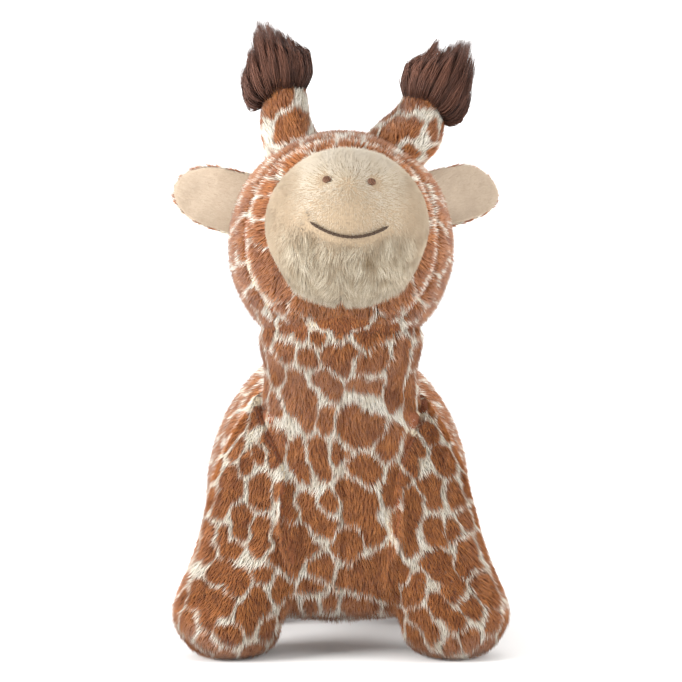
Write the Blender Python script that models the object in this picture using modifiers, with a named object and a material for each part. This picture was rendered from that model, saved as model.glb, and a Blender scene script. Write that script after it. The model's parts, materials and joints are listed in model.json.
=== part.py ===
"""Plush giraffe: stuffed printed covers on four splayed paws, with a nodding head.

Metres, +Z up, the giraffe faces -Y and stands on Z = 0. Each stuffed piece is a coarse
cage of rings that a Subdivision Surface rounds off. Smaller pieces are cut back to a
small gap by the larger ones that they are sewn to. The head, ears, horns and tail turn
on rounded roots, which sit in sockets with a little play.
"""

import math

import bmesh
import bpy
import numpy as np
from mathutils import Matrix, Vector
from mathutils.bvhtree import BVHTree

# Fits shared by all the pieces
GAP = 0.0003
COVER = 0.0035
SOCKET_PLAY = 0.0011
OVERRUN = 0.02
WELD = 0.00001

# Torso
TORSO_X = -0.0018
TORSO_FRONT_Y = -0.078
TORSO_LENGTH = 0.183
TORSO_HALF_WIDTH = 0.073
TORSO_WIDE_Z = 0.074
TORSO_RISE = 0.088
TORSO_DROP = 0.0575
TURNING_SLOT_LENGTH = 0.052
TURNING_SLOT_WIDTH = 0.0046
TURNING_SLOT_SHARE = 0.56
THREAD_RADIUS = 0.0006
LADDER_STITCHES = 9

# Neck and chest
PIVOT_Y = -0.058
PIVOT_Z = 0.168
NECK_BALL_RADIUS = 0.044
CHEST_HALF_WIDTH = 0.041
CHEST_HALF_DEPTH = 0.038
CHEST_BOTTOM_Z = 0.0165
NECK_TOP_RISE = 0.018

# Head
HEAD_LIFT = 0.046
HEAD_BACK = 0.053
HEAD_LENGTH = 0.113
HEAD_HALF_WIDTH = 0.060
HEAD_HALF_HEIGHT = 0.0605
FACE_SEAM_SHARE = 0.235
MUZZLE_SEAM_SHARE = 0.085

# Muzzle
MUZZLE_LENGTH = 0.060
MUZZLE_OVERLAP = 0.018
MUZZLE_HALF_WIDTH = 0.0415
MUZZLE_HALF_HEIGHT = 0.0385
MUZZLE_LIFT = 0.012
CHIN_SPLIT_DROP = 0.014
MOUTH_HALF_WIDTH = 0.0205
MOUTH_SAG = 0.0070
MOUTH_RISE = 0.0025
MOUTH_THREAD_RADIUS = 0.0007
FACE_SHIFT = 0.0030
NOSTRIL_SPREAD = 0.0123
NOSTRIL_RISE = 0.0240
NOSTRIL_LENGTH = 0.0050
NOSTRIL_HEIGHT = 0.0034
NOSTRIL_DEPTH = 0.0016

# Eyes
EYE_RADIUS = 0.0045
EYE_DOME = 0.0034
EYE_SEAT_DEPTH = 0.0012
EYE_STEM_RADIUS = 0.0014
EYE_STEM_LENGTH = 0.0100
EYE_TURN_DEG = 43.7
EYE_SPACING = 0.0010
WASHER_RADIUS = 0.0050
WASHER_THICKNESS = 0.0012
WASHER_DEPTH = 0.0052

# Ears
EAR_LENGTH = 0.0343
EAR_HALF_WIDTH = 0.0178
EAR_DROOP = 0.0052
EAR_CUP = 0.0045
EAR_BEND = 0.0030
EAR_BACK_THICKNESS = 0.0024
EAR_LINING_THICKNESS = 0.0018
EAR_BEAD_RADIUS = 0.0032
EAR_BEAD_LENGTH = 0.0240
EAR_ROOT_RISE = 0.0235
EAR_ROOT_BEHIND = 0.0060
EAR_ROOT_PROUD = 0.0006
EAR_TILT_DEG = 24.0
EAR_LEFT_SWEEP_DEG = 8.0
EAR_RIGHT_SWEEP_DEG = 32.0

# Horns and their tufts
HORN_LEFT_OUT = 0.0255
HORN_RIGHT_OUT = 0.0325
HORN_LEFT_LEAN_DEG = 10.0
HORN_RIGHT_LEAN_DEG = 22.0
HORN_RECLINE_DEG = 4.0
HORN_ROOT_BALL = 0.0140
HORN_ROOT_SINK = 0.0010
HORN_RADIUS = 0.0130
HORN_LENGTH = 0.0400
TUFT_RADIUS = 0.0184
TUFT_LEFT_LENGTH = 0.0500
TUFT_RIGHT_LENGTH = 0.0500
TUFT_START = 0.0160
TUFT_LEFT_SWEEP = 0.0060
TUFT_RIGHT_SWEEP = 0.0040

# Front and hind legs
FRONT_PAW_X = 0.0585
FRONT_PAW_Y = -0.072
FRONT_LEG_HEIGHT = 0.128
FRONT_LEG_HALF_WIDTH = 0.030
FRONT_LEG_HALF_DEPTH = 0.033
FRONT_LEG_INWARD = 0.0225
FRONT_LEG_BACKWARD = 0.028
HIND_PAW_X = 0.0565
HIND_PAW_Y = 0.060
HIND_LEG_HEIGHT = 0.118
HIND_LEG_HALF_WIDTH = 0.028
HIND_LEG_HALF_DEPTH = 0.033
HIND_LEG_INWARD = 0.0185
HIND_LEG_BACKWARD = -0.003
SOLE_PRESS = 0.0005

# Tail
TAIL_ROOT_Z = 0.112
TAIL_ROOT_BALL = 0.0062
TAIL_ROOT_PROUD = 0.0020
TAIL_LENGTH = 0.058
TAIL_RADIUS = 0.0052
TAIL_REACH = 0.0170
TAIL_TUFT_LENGTH = 0.040
TAIL_TUFT_RADIUS = 0.0095
TAIL_TUFT_OVERLAP = 0.012

# Mesh counts
FORM_SEGMENTS = 14
LIMB_SEGMENTS = 8
HORN_SEGMENTS = 10
BALL_SEGMENTS = 24
BALL_RINGS = 12
ROOT_SEGMENTS = 12
ROOT_RINGS = 8
TURNED_STEPS = 16
MOUTH_POINTS = 13
EYE_STEPS = 60
EAR_CELLS = (5, 4)

# Each row: along, widest height, width, rise and drop, from the chest to the rump
TORSO_SHARES = (
    (0.000, 0.865, 0.000, 0.000, 0.000),
    (0.066, 0.838, 0.575, 0.535, 0.714),
    (0.219, 0.919, 0.822, 0.767, 0.893),
    (0.426, 0.973, 0.959, 0.930, 0.973),
    (0.634, 1.000, 1.000, 1.000, 1.000),
    (0.831, 0.973, 0.849, 0.860, 0.857),
    (0.951, 0.973, 0.493, 0.488, 0.536),
    (1.000, 1.027, 0.000, 0.000, 0.000),
)

# Each row: height, middle, half width and half depth, from the belly to the throat
CHEST_SHARES = (
    (0.000, 1.02, 0.00, 0.00),
    (0.045, 1.05, 0.92, 0.44),
    (0.200, 1.03, 0.86, 0.62),
    (0.440, 0.98, 0.82, 0.70),
    (0.620, 0.92, 0.95, 0.88),
    (0.760, 0.95, 1.00, 1.04),
    (0.855, 0.99, 1.01, 1.09),
    (0.940, 1.00, 0.78, 0.84),
    (1.000, 1.00, 0.00, 0.00),
)

# Each row: along, lift, half width and half height, from the muzzle to the nape
HEAD_SHARES = (
    (0.000, 0.13, 0.000, 0.000),
    (0.106, 0.14, 0.570, 0.515),
    (0.235, 0.07, 0.845, 0.870),
    (0.496, 0.00, 1.000, 1.000),
    (0.779, 0.00, 0.880, 0.880),
    (0.947, 0.01, 0.470, 0.470),
    (1.000, 0.02, 0.000, 0.000),
)

# Each row: along, lift, half width and half height, from the nose to the face
MUZZLE_SHARES = (
    (0.00, 0.05, 0.00, 0.00),
    (0.13, 0.05, 0.55, 0.55),
    (0.37, 0.02, 0.94, 0.94),
    (0.62, 0.00, 1.00, 1.00),
    (0.85, -0.04, 0.82, 0.84),
    (1.00, -0.06, 0.00, 0.00),
)

# Each row: height, inward, backward, half width and half depth, from sole to shoulder
LEG_SHARES = (
    (0.000, 0.04, 0.06, 0.00, 0.00),
    (0.013, 0.03, 0.02, 0.55, 0.64),
    (0.085, 0.01, 0.00, 0.88, 0.94),
    (0.205, 0.00, 0.03, 1.00, 1.00),
    (0.365, 0.28, 0.32, 0.96, 0.86),
    (0.570, 0.60, 0.64, 0.90, 0.77),
    (0.770, 0.84, 0.86, 0.80, 0.73),
    (0.930, 0.96, 1.00, 0.50, 0.46),
    (1.000, 1.00, 1.00, 0.00, 0.00),
)

# Each row: along and radius, from the root to the top
HORN_SHARES = ((0.00, 0.00), (0.12, 0.92), (0.45, 0.97), (0.82, 1.00), (1.00, 0.00))
# Each row: along, sweep and radius
TUFT_SHARES = (
    (0.00, 0.00, 0.00),
    (0.10, 0.02, 0.92),
    (0.34, 0.12, 1.00),
    (0.62, 0.34, 0.93),
    (0.86, 0.74, 0.54),
    (1.00, 1.00, 0.00),
)
# Each row: along, reach behind the root and radius
TAIL_SHARES = (
    (0.00, 0.00, 0.00),
    (0.08, 0.30, 1.00),
    (0.30, 0.78, 1.00),
    (0.60, 1.00, 0.92),
    (0.92, 1.00, 0.86),
    (1.00, 1.00, 0.00),
)
TAIL_TUFT_SHARES = ((0.00, 0.00), (0.12, 0.72), (0.40, 1.00), (0.75, 0.72), (1.00, 0.00))
# Half width of an ear at even steps from its root to its tip
EAR_WIDTH_SHARES = (0.84, 0.98, 1.03, 0.98, 0.78, 0.42)
LINING_SHARE = 0.90
LINING_START_SHARE = 0.17
LINING_REACH_SHARE = 0.97
EAR_TIP_ROUND_SHARE = 0.24
# How much of its own cage point and of the next one a rounded pole holds
POLE_OWN_SHARE = 0.62
POLE_NEXT_SHARE = 0.38

PRINT_BROWN = (0.36, 0.13, 0.045)
PRINT_CREAM = (0.79, 0.69, 0.56)
MUZZLE_CREAM = (0.72, 0.58, 0.42)
TUFT_BROWN = (0.070, 0.040, 0.032)
STITCH_BROWN = (0.070, 0.040, 0.025)
EYE_BLACK = (0.010, 0.009, 0.009)
FILL_WHITE = (0.85, 0.85, 0.83)
NYLON_WHITE = (0.80, 0.80, 0.78)


def clear_scene():
    for item in list(bpy.data.objects):
        bpy.data.objects.remove(item)
    for group in list(bpy.data.collections):
        bpy.data.collections.remove(group)


def collection(name):
    group = bpy.data.collections.new(name)
    bpy.context.scene.collection.children.link(group)
    return group


def finish(name, colour, roughness, metallic=0.0):
    """A plain finish: one Principled shader with the piece's own colour."""
    material = bpy.data.materials.new(name)
    material.use_nodes = True
    shader = material.node_tree.nodes["Principled BSDF"]
    shader.inputs["Base Color"].default_value = (*colour, 1.0)
    shader.inputs["Roughness"].default_value = roughness
    shader.inputs["Metallic"].default_value = metallic
    material.diffuse_color = (*colour, 1.0)
    return material


clear_scene()
GIRAFFE = collection("plush_giraffe")
CUTTERS = collection("cutters")
PRINT = finish("printed_short_pile", PRINT_BROWN, 0.85)
EAR_PRINT = finish("printed_ear_backing", PRINT_BROWN, 0.85)
CREAM = finish("cream_short_pile", MUZZLE_CREAM, 0.85)
LINING = finish("cream_velour_lining", PRINT_CREAM, 0.85)
TUFT = finish("dark_long_pile", TUFT_BROWN, 0.7)
STITCH = finish("embroidery_thread", STITCH_BROWN, 0.6)
EYE = finish("black_eye_plastic", EYE_BLACK, 0.12)
WASHER = finish("white_nylon_washer", NYLON_WHITE, 0.4)
FILL = finish("polyester_fibre_fill", FILL_WHITE, 0.95)
SEWING = finish("sewing_thread", PRINT_CREAM, 0.6)


def carrier(name, place, parent=None):
    """An empty that carries the pieces which move together, at their joint."""
    empty = bpy.data.objects.new(name, None)
    GIRAFFE.objects.link(empty)
    if parent is not None:
        empty.parent = parent
        empty.location = Vector(place) - Vector(parent["place"])
    else:
        empty.location = place
    empty["place"] = Vector(place)
    return empty


def carried(piece, holder):
    """Hangs a piece, made in the giraffe's own frame, on a carrier."""
    piece.data.transform(Matrix.Translation(-Vector(holder["place"])))
    piece.parent = holder
    return piece


def hidden(piece):
    """Marks a cutter, which shapes other pieces and isn't one itself."""
    piece.hide_render = True
    piece.display_type = "WIRE"
    return piece


def piece_of(name, mesh_maker, material=None):
    """A named object from a bmesh, smooth, closed and facing outwards."""
    mesh_maker.normal_update()
    bmesh.ops.recalc_face_normals(mesh_maker, faces=mesh_maker.faces)
    if mesh_maker.calc_volume(signed=True) < 0:
        bmesh.ops.reverse_faces(mesh_maker, faces=mesh_maker.faces)
    mesh = bpy.data.meshes.new(name)
    mesh_maker.to_mesh(mesh)
    mesh_maker.free()
    mesh.shade_smooth()
    piece = bpy.data.objects.new(name, mesh)
    if material is None:
        CUTTERS.objects.link(piece)
        return hidden(piece)
    mesh.materials.append(material)
    GIRAFFE.objects.link(piece)
    return piece


def rounded(piece):
    """Rounds a coarse cage off, with the same diagonals on every copy of it."""
    subdivision = piece.modifiers.new("round", "SUBSURF")
    subdivision.levels = 1
    subdivision.render_levels = 1
    triangles = piece.modifiers.new("triangles", "TRIANGULATE")
    triangles.quad_method = "FIXED"
    return piece


def grown(piece, by):
    """Moves a surface out along its normals, or in where by is negative."""
    displace = piece.modifiers.new("grow", "DISPLACE")
    displace.strength = by
    displace.mid_level = 0.0
    return piece


def boolean(piece, other, operation):
    step = piece.modifiers.new(operation.lower() + "_" + other.name[:30], "BOOLEAN")
    step.operation = operation
    step.solver = "EXACT"
    step.object = other
    return piece


def cut(piece, *others):
    for other in others:
        boolean(piece, other, "DIFFERENCE")
    return piece


def passing_through(values, pole_blend):
    """Cage values whose rounded surface passes through the wanted values.

    A rounded row is a sixth of each neighbour and four sixths of its own cage row.
    """
    count = len(values)
    mix = np.eye(count)
    for row in range(1, count - 1):
        mix[row, row - 1 : row + 2] = (1 / 6, 4 / 6, 1 / 6)
    if pole_blend:
        mix[0, :2] = (POLE_OWN_SHARE, POLE_NEXT_SHARE)
        mix[-1, -2:] = (POLE_NEXT_SHARE, POLE_OWN_SHARE)
    return np.linalg.solve(mix, np.asarray(values, float))


def stuffed_form(name, rows, facing, segments, material=None):
    """A swelling form from rows of (centre, across, above, below) half sizes.

    Rings stand across Y, with above upwards, or across Z, with above to the front.
    """
    centres = passing_through([row[0] for row in rows], True)
    sizes = passing_through([row[1:] for row in rows], False)
    sizes /= (2 + math.cos(2 * math.pi / segments)) / 3
    above = Vector((0, 0, 1)) if facing == "Y" else Vector((0, -1, 0))
    cage = bmesh.new()
    bmesh.ops.create_uvsphere(
        cage, u_segments=segments, v_segments=len(rows) - 1, radius=1.0
    )
    for vertex in cage.verts:
        x, y, z = vertex.co
        ring = round(math.acos(max(-1.0, min(1.0, z))) / math.pi * (len(rows) - 1))
        turn = math.atan2(y, x)
        across, rise, drop = sizes[ring]
        if ring in (0, len(rows) - 1):
            across = rise = drop = 0.0
        reach = rise if math.sin(turn) > 0 else drop
        vertex.co = (
            Vector(centres[ring])
            + Vector((1, 0, 0)) * (math.cos(turn) * across)
            + above * (math.sin(turn) * reach)
        )
    return rounded(piece_of(name, cage, material))


def ball(name, centre, radius, segments, rings, material=None):
    sphere = bmesh.new()
    bmesh.ops.create_uvsphere(
        sphere, u_segments=segments, v_segments=rings, radius=radius
    )
    bmesh.ops.translate(sphere, verts=sphere.verts, vec=Vector(centre))
    return piece_of(name, sphere, material)


def box(name, low, high):
    block = bmesh.new()
    bmesh.ops.create_cube(block, size=1.0)
    low, high = Vector(low), Vector(high)
    for vertex in block.verts:
        shares = vertex.co + Vector((0.5, 0.5, 0.5))
        vertex.co = low + Vector(s * (h - l) for s, h, l in zip(shares, high, low))
    return piece_of(name, block)


def rod(name, start, end, radius, segments, material=None):
    along = Vector(end) - Vector(start)
    bar = bmesh.new()
    bmesh.ops.create_cone(
        bar, cap_ends=True, segments=segments,
        radius1=radius, radius2=radius, depth=along.length,
    )
    turn = Vector((0, 0, 1)).rotation_difference(along.normalized()).to_matrix()
    bmesh.ops.transform(bar, matrix=turn.to_4x4(), verts=bar.verts)
    bmesh.ops.translate(bar, verts=bar.verts, vec=(Vector(start) + Vector(end)) / 2)
    return piece_of(name, bar, material)


def turned(name, profile, place, direction, material=None):
    """A turned piece: a profile of (radius, height), from the top down, about an axis."""
    outline = bmesh.new()
    corners = [outline.verts.new((radius, 0, height)) for radius, height in profile]
    for first, second in zip(corners, corners[1:]):
        outline.edges.new((first, second))
    mesh = bpy.data.meshes.new(name)
    outline.to_mesh(mesh)
    outline.free()
    piece = bpy.data.objects.new(name, mesh)
    (CUTTERS if material is None else GIRAFFE).objects.link(piece)
    screw = piece.modifiers.new("turn", "SCREW")
    screw.steps = TURNED_STEPS
    screw.render_steps = TURNED_STEPS
    screw.use_merge_vertices = True
    screw.merge_threshold = WELD
    piece.location = place
    piece.rotation_mode = "QUATERNION"
    piece.rotation_quaternion = Vector((0, 0, 1)).rotation_difference(direction)
    if material is None:
        return hidden(piece)
    mesh.materials.append(material)
    return piece


def tube(name, points, radius, material=None):
    """A round thread along its points, as a closed mesh."""
    line = bpy.data.curves.new(name, "CURVE")
    line.dimensions = "3D"
    line.bevel_depth = radius
    line.bevel_resolution = 1
    line.use_fill_caps = True
    spline = line.splines.new("POLY")
    spline.points.add(len(points) - 1)
    for point, place in zip(spline.points, points):
        point.co = (*place, 1.0)
    guide = bpy.data.objects.new(name + "_line", line)
    CUTTERS.objects.link(guide)
    bpy.context.view_layer.update()
    graph = bpy.context.evaluated_depsgraph_get()
    found = bpy.data.meshes.new_from_object(guide.evaluated_get(graph))
    bpy.data.objects.remove(guide)
    closed = bmesh.new()
    closed.from_mesh(found)
    bmesh.ops.remove_doubles(closed, verts=closed.verts, dist=WELD)
    return piece_of(name, closed, material)


def surface_of(piece):
    """The evaluated surface of a piece, to place others on it."""
    bpy.context.view_layer.update()
    graph = bpy.context.evaluated_depsgraph_get()
    shape = piece.evaluated_get(graph)
    mesh = bpy.data.meshes.new_from_object(shape)
    mesh.transform(piece.matrix_world)
    skin = bmesh.new()
    skin.from_mesh(mesh)
    tree = BVHTree.FromBMesh(skin)
    skin.free()
    return tree


def first_hit(tree, start, direction):
    place, normal, _, _ = tree.ray_cast(Vector(start), Vector(direction))
    return place, normal


# The places that the carriers and forms share
TORSO_BACK_Y = TORSO_FRONT_Y + TORSO_LENGTH
PIVOT = Vector((0, PIVOT_Y, PIVOT_Z))
HEAD_Z = PIVOT_Z + HEAD_LIFT
HEAD_FRONT_Y = PIVOT_Y + HEAD_BACK - HEAD_LENGTH
MUZZLE_BACK_Y = HEAD_FRONT_Y + MUZZLE_OVERLAP
MUZZLE_FRONT_Y = MUZZLE_BACK_Y - MUZZLE_LENGTH
MUZZLE_Z = HEAD_Z + MUZZLE_LIFT
SIDES = (("left", -1), ("right", 1))
EAR_SWEEP_DEG = {"left": EAR_LEFT_SWEEP_DEG, "right": EAR_RIGHT_SWEEP_DEG}
HORN_OUT = {"left": HORN_LEFT_OUT, "right": HORN_RIGHT_OUT}
HORN_LEAN_DEG = {"left": HORN_LEFT_LEAN_DEG, "right": HORN_RIGHT_LEAN_DEG}
TUFT_LENGTH = {"left": TUFT_LEFT_LENGTH, "right": TUFT_RIGHT_LENGTH}
TUFT_SWEEP = {"left": TUFT_LEFT_SWEEP, "right": TUFT_RIGHT_SWEEP}


def torso_rows():
    return [
        (
            (TORSO_X, TORSO_FRONT_Y + along * TORSO_LENGTH, height * TORSO_WIDE_Z),
            width * TORSO_HALF_WIDTH,
            rise * TORSO_RISE,
            drop * TORSO_DROP,
        )
        for along, height, width, rise, drop in TORSO_SHARES
    ]


def chest_rows():
    span = PIVOT_Z + NECK_TOP_RISE - CHEST_BOTTOM_Z
    return [
        (
            (0, middle * PIVOT_Y, CHEST_BOTTOM_Z + height * span),
            width * CHEST_HALF_WIDTH,
            depth * CHEST_HALF_DEPTH,
            depth * CHEST_HALF_DEPTH,
        )
        for height, middle, width, depth in CHEST_SHARES
    ]


def long_rows(table, centre_x, front_y, length, centre_z, half_width, half_height):
    return [
        (
            (centre_x, front_y + along * length, centre_z + lift * half_height),
            width * half_width,
            height * half_height,
            height * half_height,
        )
        for along, lift, width, height in table
    ]


def head_rows():
    return long_rows(
        HEAD_SHARES, 0, HEAD_FRONT_Y, HEAD_LENGTH, HEAD_Z, HEAD_HALF_WIDTH, HEAD_HALF_HEIGHT
    )


def muzzle_rows():
    return long_rows(
        MUZZLE_SHARES,
        FACE_SHIFT,
        MUZZLE_FRONT_Y,
        MUZZLE_LENGTH,
        MUZZLE_Z,
        MUZZLE_HALF_WIDTH,
        MUZZLE_HALF_HEIGHT,
    )


def leg_rows(side, paw_x, paw_y, height, half_width, half_depth, inward, backward):
    return [
        (
            (
                side * (paw_x - inward_share * inward),
                paw_y + backward_share * backward,
                along * height - SOLE_PRESS,
            ),
            width * half_width,
            depth * half_depth,
            depth * half_depth,
        )
        for along, inward_share, backward_share, width, depth in LEG_SHARES
    ]


def make_torso(root):
    torso = stuffed_form("torso_cover", torso_rows(), "Y", FORM_SEGMENTS, PRINT)
    carried(torso, root)
    hollow = stuffed_form("torso_hollow", torso_rows(), "Y", LIMB_SEGMENTS)
    grown(hollow, -COVER)
    slot_y = TORSO_FRONT_Y + TURNING_SLOT_SHARE * TORSO_LENGTH
    slot = box(
        "turning_slot",
        (TORSO_X - TURNING_SLOT_WIDTH / 2, slot_y - TURNING_SLOT_LENGTH / 2, -OVERRUN),
        (TORSO_X + TURNING_SLOT_WIDTH / 2, slot_y + TURNING_SLOT_LENGTH / 2, TORSO_WIDE_Z / 2),
    )
    cut(torso, hollow, slot)
    fill = stuffed_form("body_stuffing", torso_rows(), "Y", LIMB_SEGMENTS, FILL)
    grown(carried(fill, root), -COVER - GAP)
    outer = stuffed_form("torso_outer", torso_rows(), "Y", FORM_SEGMENTS)
    belly = surface_of(outer)
    steps = 2 * LADDER_STITCHES
    reach = TURNING_SLOT_WIDTH / 2 - THREAD_RADIUS - GAP
    run = TURNING_SLOT_LENGTH - 2 * (THREAD_RADIUS + GAP)
    ladder = []
    for step in range(steps + 1):
        y = slot_y + (step / steps - 0.5) * run
        place, _ = first_hit(belly, (TORSO_X, y, -OVERRUN), (0, 0, 1))
        side = reach if (step // 2) % 2 else -reach
        ladder.append((TORSO_X + side, y, place.z + COVER / 2))
    carried(tube("closing_stitches", ladder, THREAD_RADIUS, SEWING), root)
    return torso, fill, outer


def make_neck(root, torso_outer):
    neck = stuffed_form("neck_and_chest", chest_rows(), "Z", FORM_SEGMENTS, PRINT)
    neck_ball = ball("neck_ball", PIVOT, NECK_BALL_RADIUS, BALL_SEGMENTS, BALL_RINGS)
    boolean(carried(neck, root), neck_ball, "UNION")
    cut(neck, torso_outer)
    outer = stuffed_form("chest_outer", chest_rows(), "Z", FORM_SEGMENTS)
    return grown(outer, GAP)


def make_legs(root, torso_outer, chest_outer):
    floor = box(
        "floor_cutter",
        (-TORSO_LENGTH, -TORSO_LENGTH, -OVERRUN),
        (TORSO_LENGTH, TORSO_LENGTH, 0),
    )
    front = (
        FRONT_PAW_X, FRONT_PAW_Y, FRONT_LEG_HEIGHT, FRONT_LEG_HALF_WIDTH,
        FRONT_LEG_HALF_DEPTH, FRONT_LEG_INWARD, FRONT_LEG_BACKWARD,
    )
    hind = (
        HIND_PAW_X, HIND_PAW_Y, HIND_LEG_HEIGHT, HIND_LEG_HALF_WIDTH,
        HIND_LEG_HALF_DEPTH, HIND_LEG_INWARD, HIND_LEG_BACKWARD,
    )
    for side_name, side in SIDES:
        for end_name, sizes in (("front", front), ("hind", hind)):
            name = f"{end_name}_leg_{side_name}"
            rows = leg_rows(side, *sizes)
            leg = stuffed_form(name, rows, "Z", LIMB_SEGMENTS, PRINT)
            cut(carried(leg, root), torso_outer)
            if end_name == "front":
                cut(leg, chest_outer)
            cut(leg, floor)


def head_form(name, segments, grow, material=None):
    form = stuffed_form(name, head_rows(), "Y", segments, material)
    return grown(form, grow) if grow else form


def make_head(head):
    """The two printed covers that meet at the ring seam, and the fill inside them."""
    seam_y = HEAD_FRONT_Y + FACE_SEAM_SHARE * HEAD_LENGTH
    muzzle_seam_y = HEAD_FRONT_Y + MUZZLE_SEAM_SHARE * HEAD_LENGTH
    wide = 2 * HEAD_HALF_WIDTH
    low, high = HEAD_Z - wide, HEAD_Z + wide
    behind = box("behind_seam", (-wide, seam_y - GAP / 2, low), (wide, wide, high))
    ahead = box("ahead_of_seam", (-wide, -4 * wide, low), (wide, seam_y + GAP / 2, high))
    nose = box("ahead_of_muzzle", (-wide, -4 * wide, low), (wide, muzzle_seam_y, high))
    hollow = head_form("head_hollow", LIMB_SEGMENTS, -COVER)
    socket = ball(
        "neck_socket", PIVOT, NECK_BALL_RADIUS + SOCKET_PLAY, BALL_SEGMENTS, BALL_RINGS
    )
    face = carried(head_form("face_cover", FORM_SEGMENTS, 0, PRINT), head)
    cut(face, behind, nose, hollow, socket)
    back = carried(head_form("head_back_cover", FORM_SEGMENTS, 0, PRINT), head)
    cut(back, ahead, hollow, socket)
    fill = carried(head_form("head_stuffing", LIMB_SEGMENTS, -COVER - GAP, FILL), head)
    cut(fill, socket)
    return face, back, fill


def muzzle_half(name, material, head, keep_low, keep_high, head_outer):
    """One half of the muzzle, kept between two heights and cut back by the head."""
    form = stuffed_form(name, muzzle_rows(), "Y", FORM_SEGMENTS, material)
    wide = 2 * HEAD_HALF_WIDTH
    block = box(
        name + "_keep", (-wide, MUZZLE_FRONT_Y - wide, keep_low), (wide, wide, keep_high)
    )
    boolean(carried(form, head), block, "INTERSECT")
    return cut(form, head_outer)


def make_muzzle(head):
    head_outer = head_form("head_outer", FORM_SEGMENTS, GAP)
    split = MUZZLE_Z - CHIN_SPLIT_DROP
    reach = 2 * MUZZLE_HALF_HEIGHT
    muzzle = muzzle_half("muzzle", CREAM, head, split + GAP / 2, split + reach, head_outer)
    chin = muzzle_half("chin", CREAM, head, split - reach, split - GAP / 2, head_outer)
    guide = stuffed_form("muzzle_outer", muzzle_rows(), "Y", FORM_SEGMENTS)
    skin = surface_of(guide)
    start_y = MUZZLE_FRONT_Y - OVERRUN
    smile = []
    for step in range(MOUTH_POINTS):
        across = 2 * step / (MOUTH_POINTS - 1) - 1
        x = FACE_SHIFT + across * MOUTH_HALF_WIDTH
        z = MUZZLE_Z + MOUTH_RISE - MOUTH_SAG * (1 - across * across)
        place, normal = first_hit(skin, (x, start_y, z), (0, 1, 0))
        smile.append(place)
    carried(tube("mouth_stitching", smile, MOUTH_THREAD_RADIUS, STITCH), head)
    groove = tube("mouth_groove", smile, MOUTH_THREAD_RADIUS + GAP)
    cut(muzzle, groove)
    cut(chin, groove)
    for side_name, side in SIDES:
        x = FACE_SHIFT + side * NOSTRIL_SPREAD
        place, normal = first_hit(skin, (x, start_y, MUZZLE_Z + NOSTRIL_RISE), (0, 1, 0))
        turn = Vector((0, 0, 1)).rotation_difference(normal).to_matrix().to_4x4()
        for name, extra, material in (
            (f"nostril_{side_name}", 0.0, STITCH),
            (f"nostril_seat_{side_name}", GAP, None),
        ):
            pad = bmesh.new()
            bmesh.ops.create_uvsphere(pad, u_segments=12, v_segments=6, radius=1.0)
            sizes = (NOSTRIL_LENGTH / 2, NOSTRIL_HEIGHT / 2, NOSTRIL_DEPTH / 2)
            shape = Matrix.Diagonal([size + extra for size in sizes]).to_4x4()
            matrix = Matrix.Translation(place) @ turn @ shape
            bmesh.ops.transform(pad, matrix=matrix, verts=pad.verts)
            found = piece_of(name, pad, material)
            if material is None:
                cut(muzzle, found)
            else:
                carried(found, head)
    return skin


def eye_place(side, head_skin, muzzle_skin):
    """The first place behind the muzzle, on the way to the ring seam, that clears it."""
    turn = math.radians(EYE_TURN_DEG)
    inwards = Vector((-side * math.sin(turn), 0, -math.cos(turn)))
    for step in range(1, EYE_STEPS + 1):
        y = HEAD_FRONT_Y + FACE_SEAM_SHARE * HEAD_LENGTH * step / EYE_STEPS
        start = Vector((0, y, HEAD_Z)) - inwards * 2 * HEAD_HALF_HEIGHT
        place, normal = first_hit(head_skin, start, inwards)
        _, _, _, distance = muzzle_skin.find_nearest(place)
        _, met, _, _ = muzzle_skin.ray_cast(place, normal)
        covered = met is not None and met.dot(normal) > 0
        if distance > EYE_RADIUS + EYE_SPACING and not covered:
            break
    return place, normal


def make_eyes(head, head_skin, muzzle_skin, face, fill):
    """Domed eyes with a stem through the cover, each held by a washer inside."""
    stem_hole = EYE_STEM_RADIUS + GAP
    seat = EYE_RADIUS + GAP
    washer_top = -WASHER_DEPTH
    washer_low = washer_top - WASHER_THICKNESS
    for side_name, side in SIDES:
        place, normal = eye_place(side, head_skin, muzzle_skin)
        place = place - normal * EYE_SEAT_DEPTH
        dome = [
            (EYE_RADIUS * math.sin(turn), GAP + EYE_DOME * math.cos(turn))
            for turn in np.linspace(0, math.pi / 2, 7)
        ]
        stem = [
            (EYE_RADIUS, GAP),
            (EYE_STEM_RADIUS, GAP),
            (EYE_STEM_RADIUS, -EYE_STEM_LENGTH),
            (0, -EYE_STEM_LENGTH),
        ]
        eye = turned(f"eye_{side_name}", dome[:-1] + stem, place, normal, EYE)
        washer = turned(
            f"eye_washer_{side_name}",
            [
                (stem_hole, washer_top),
                (WASHER_RADIUS, washer_top),
                (WASHER_RADIUS, washer_low),
                (stem_hole, washer_low),
                (stem_hole, washer_top),
            ],
            place, normal, WASHER,
        )
        for piece in (eye, washer):
            piece.parent = head
            piece.location = place - Vector(head["place"])
        pocket = turned(
            f"eye_pocket_{side_name}",
            [
                (0, OVERRUN),
                (seat, OVERRUN),
                (seat, 0),
                (stem_hole, 0),
                (stem_hole, washer_top + GAP),
                (WASHER_RADIUS + GAP, washer_top + GAP),
                (WASHER_RADIUS + GAP, washer_low - GAP),
                (stem_hole, washer_low - GAP),
                (stem_hole, -EYE_STEM_LENGTH - GAP),
                (0, -EYE_STEM_LENGTH - GAP),
            ],
            place, normal,
        )
        cut(face, pocket)
        cut(fill, pocket)


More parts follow.
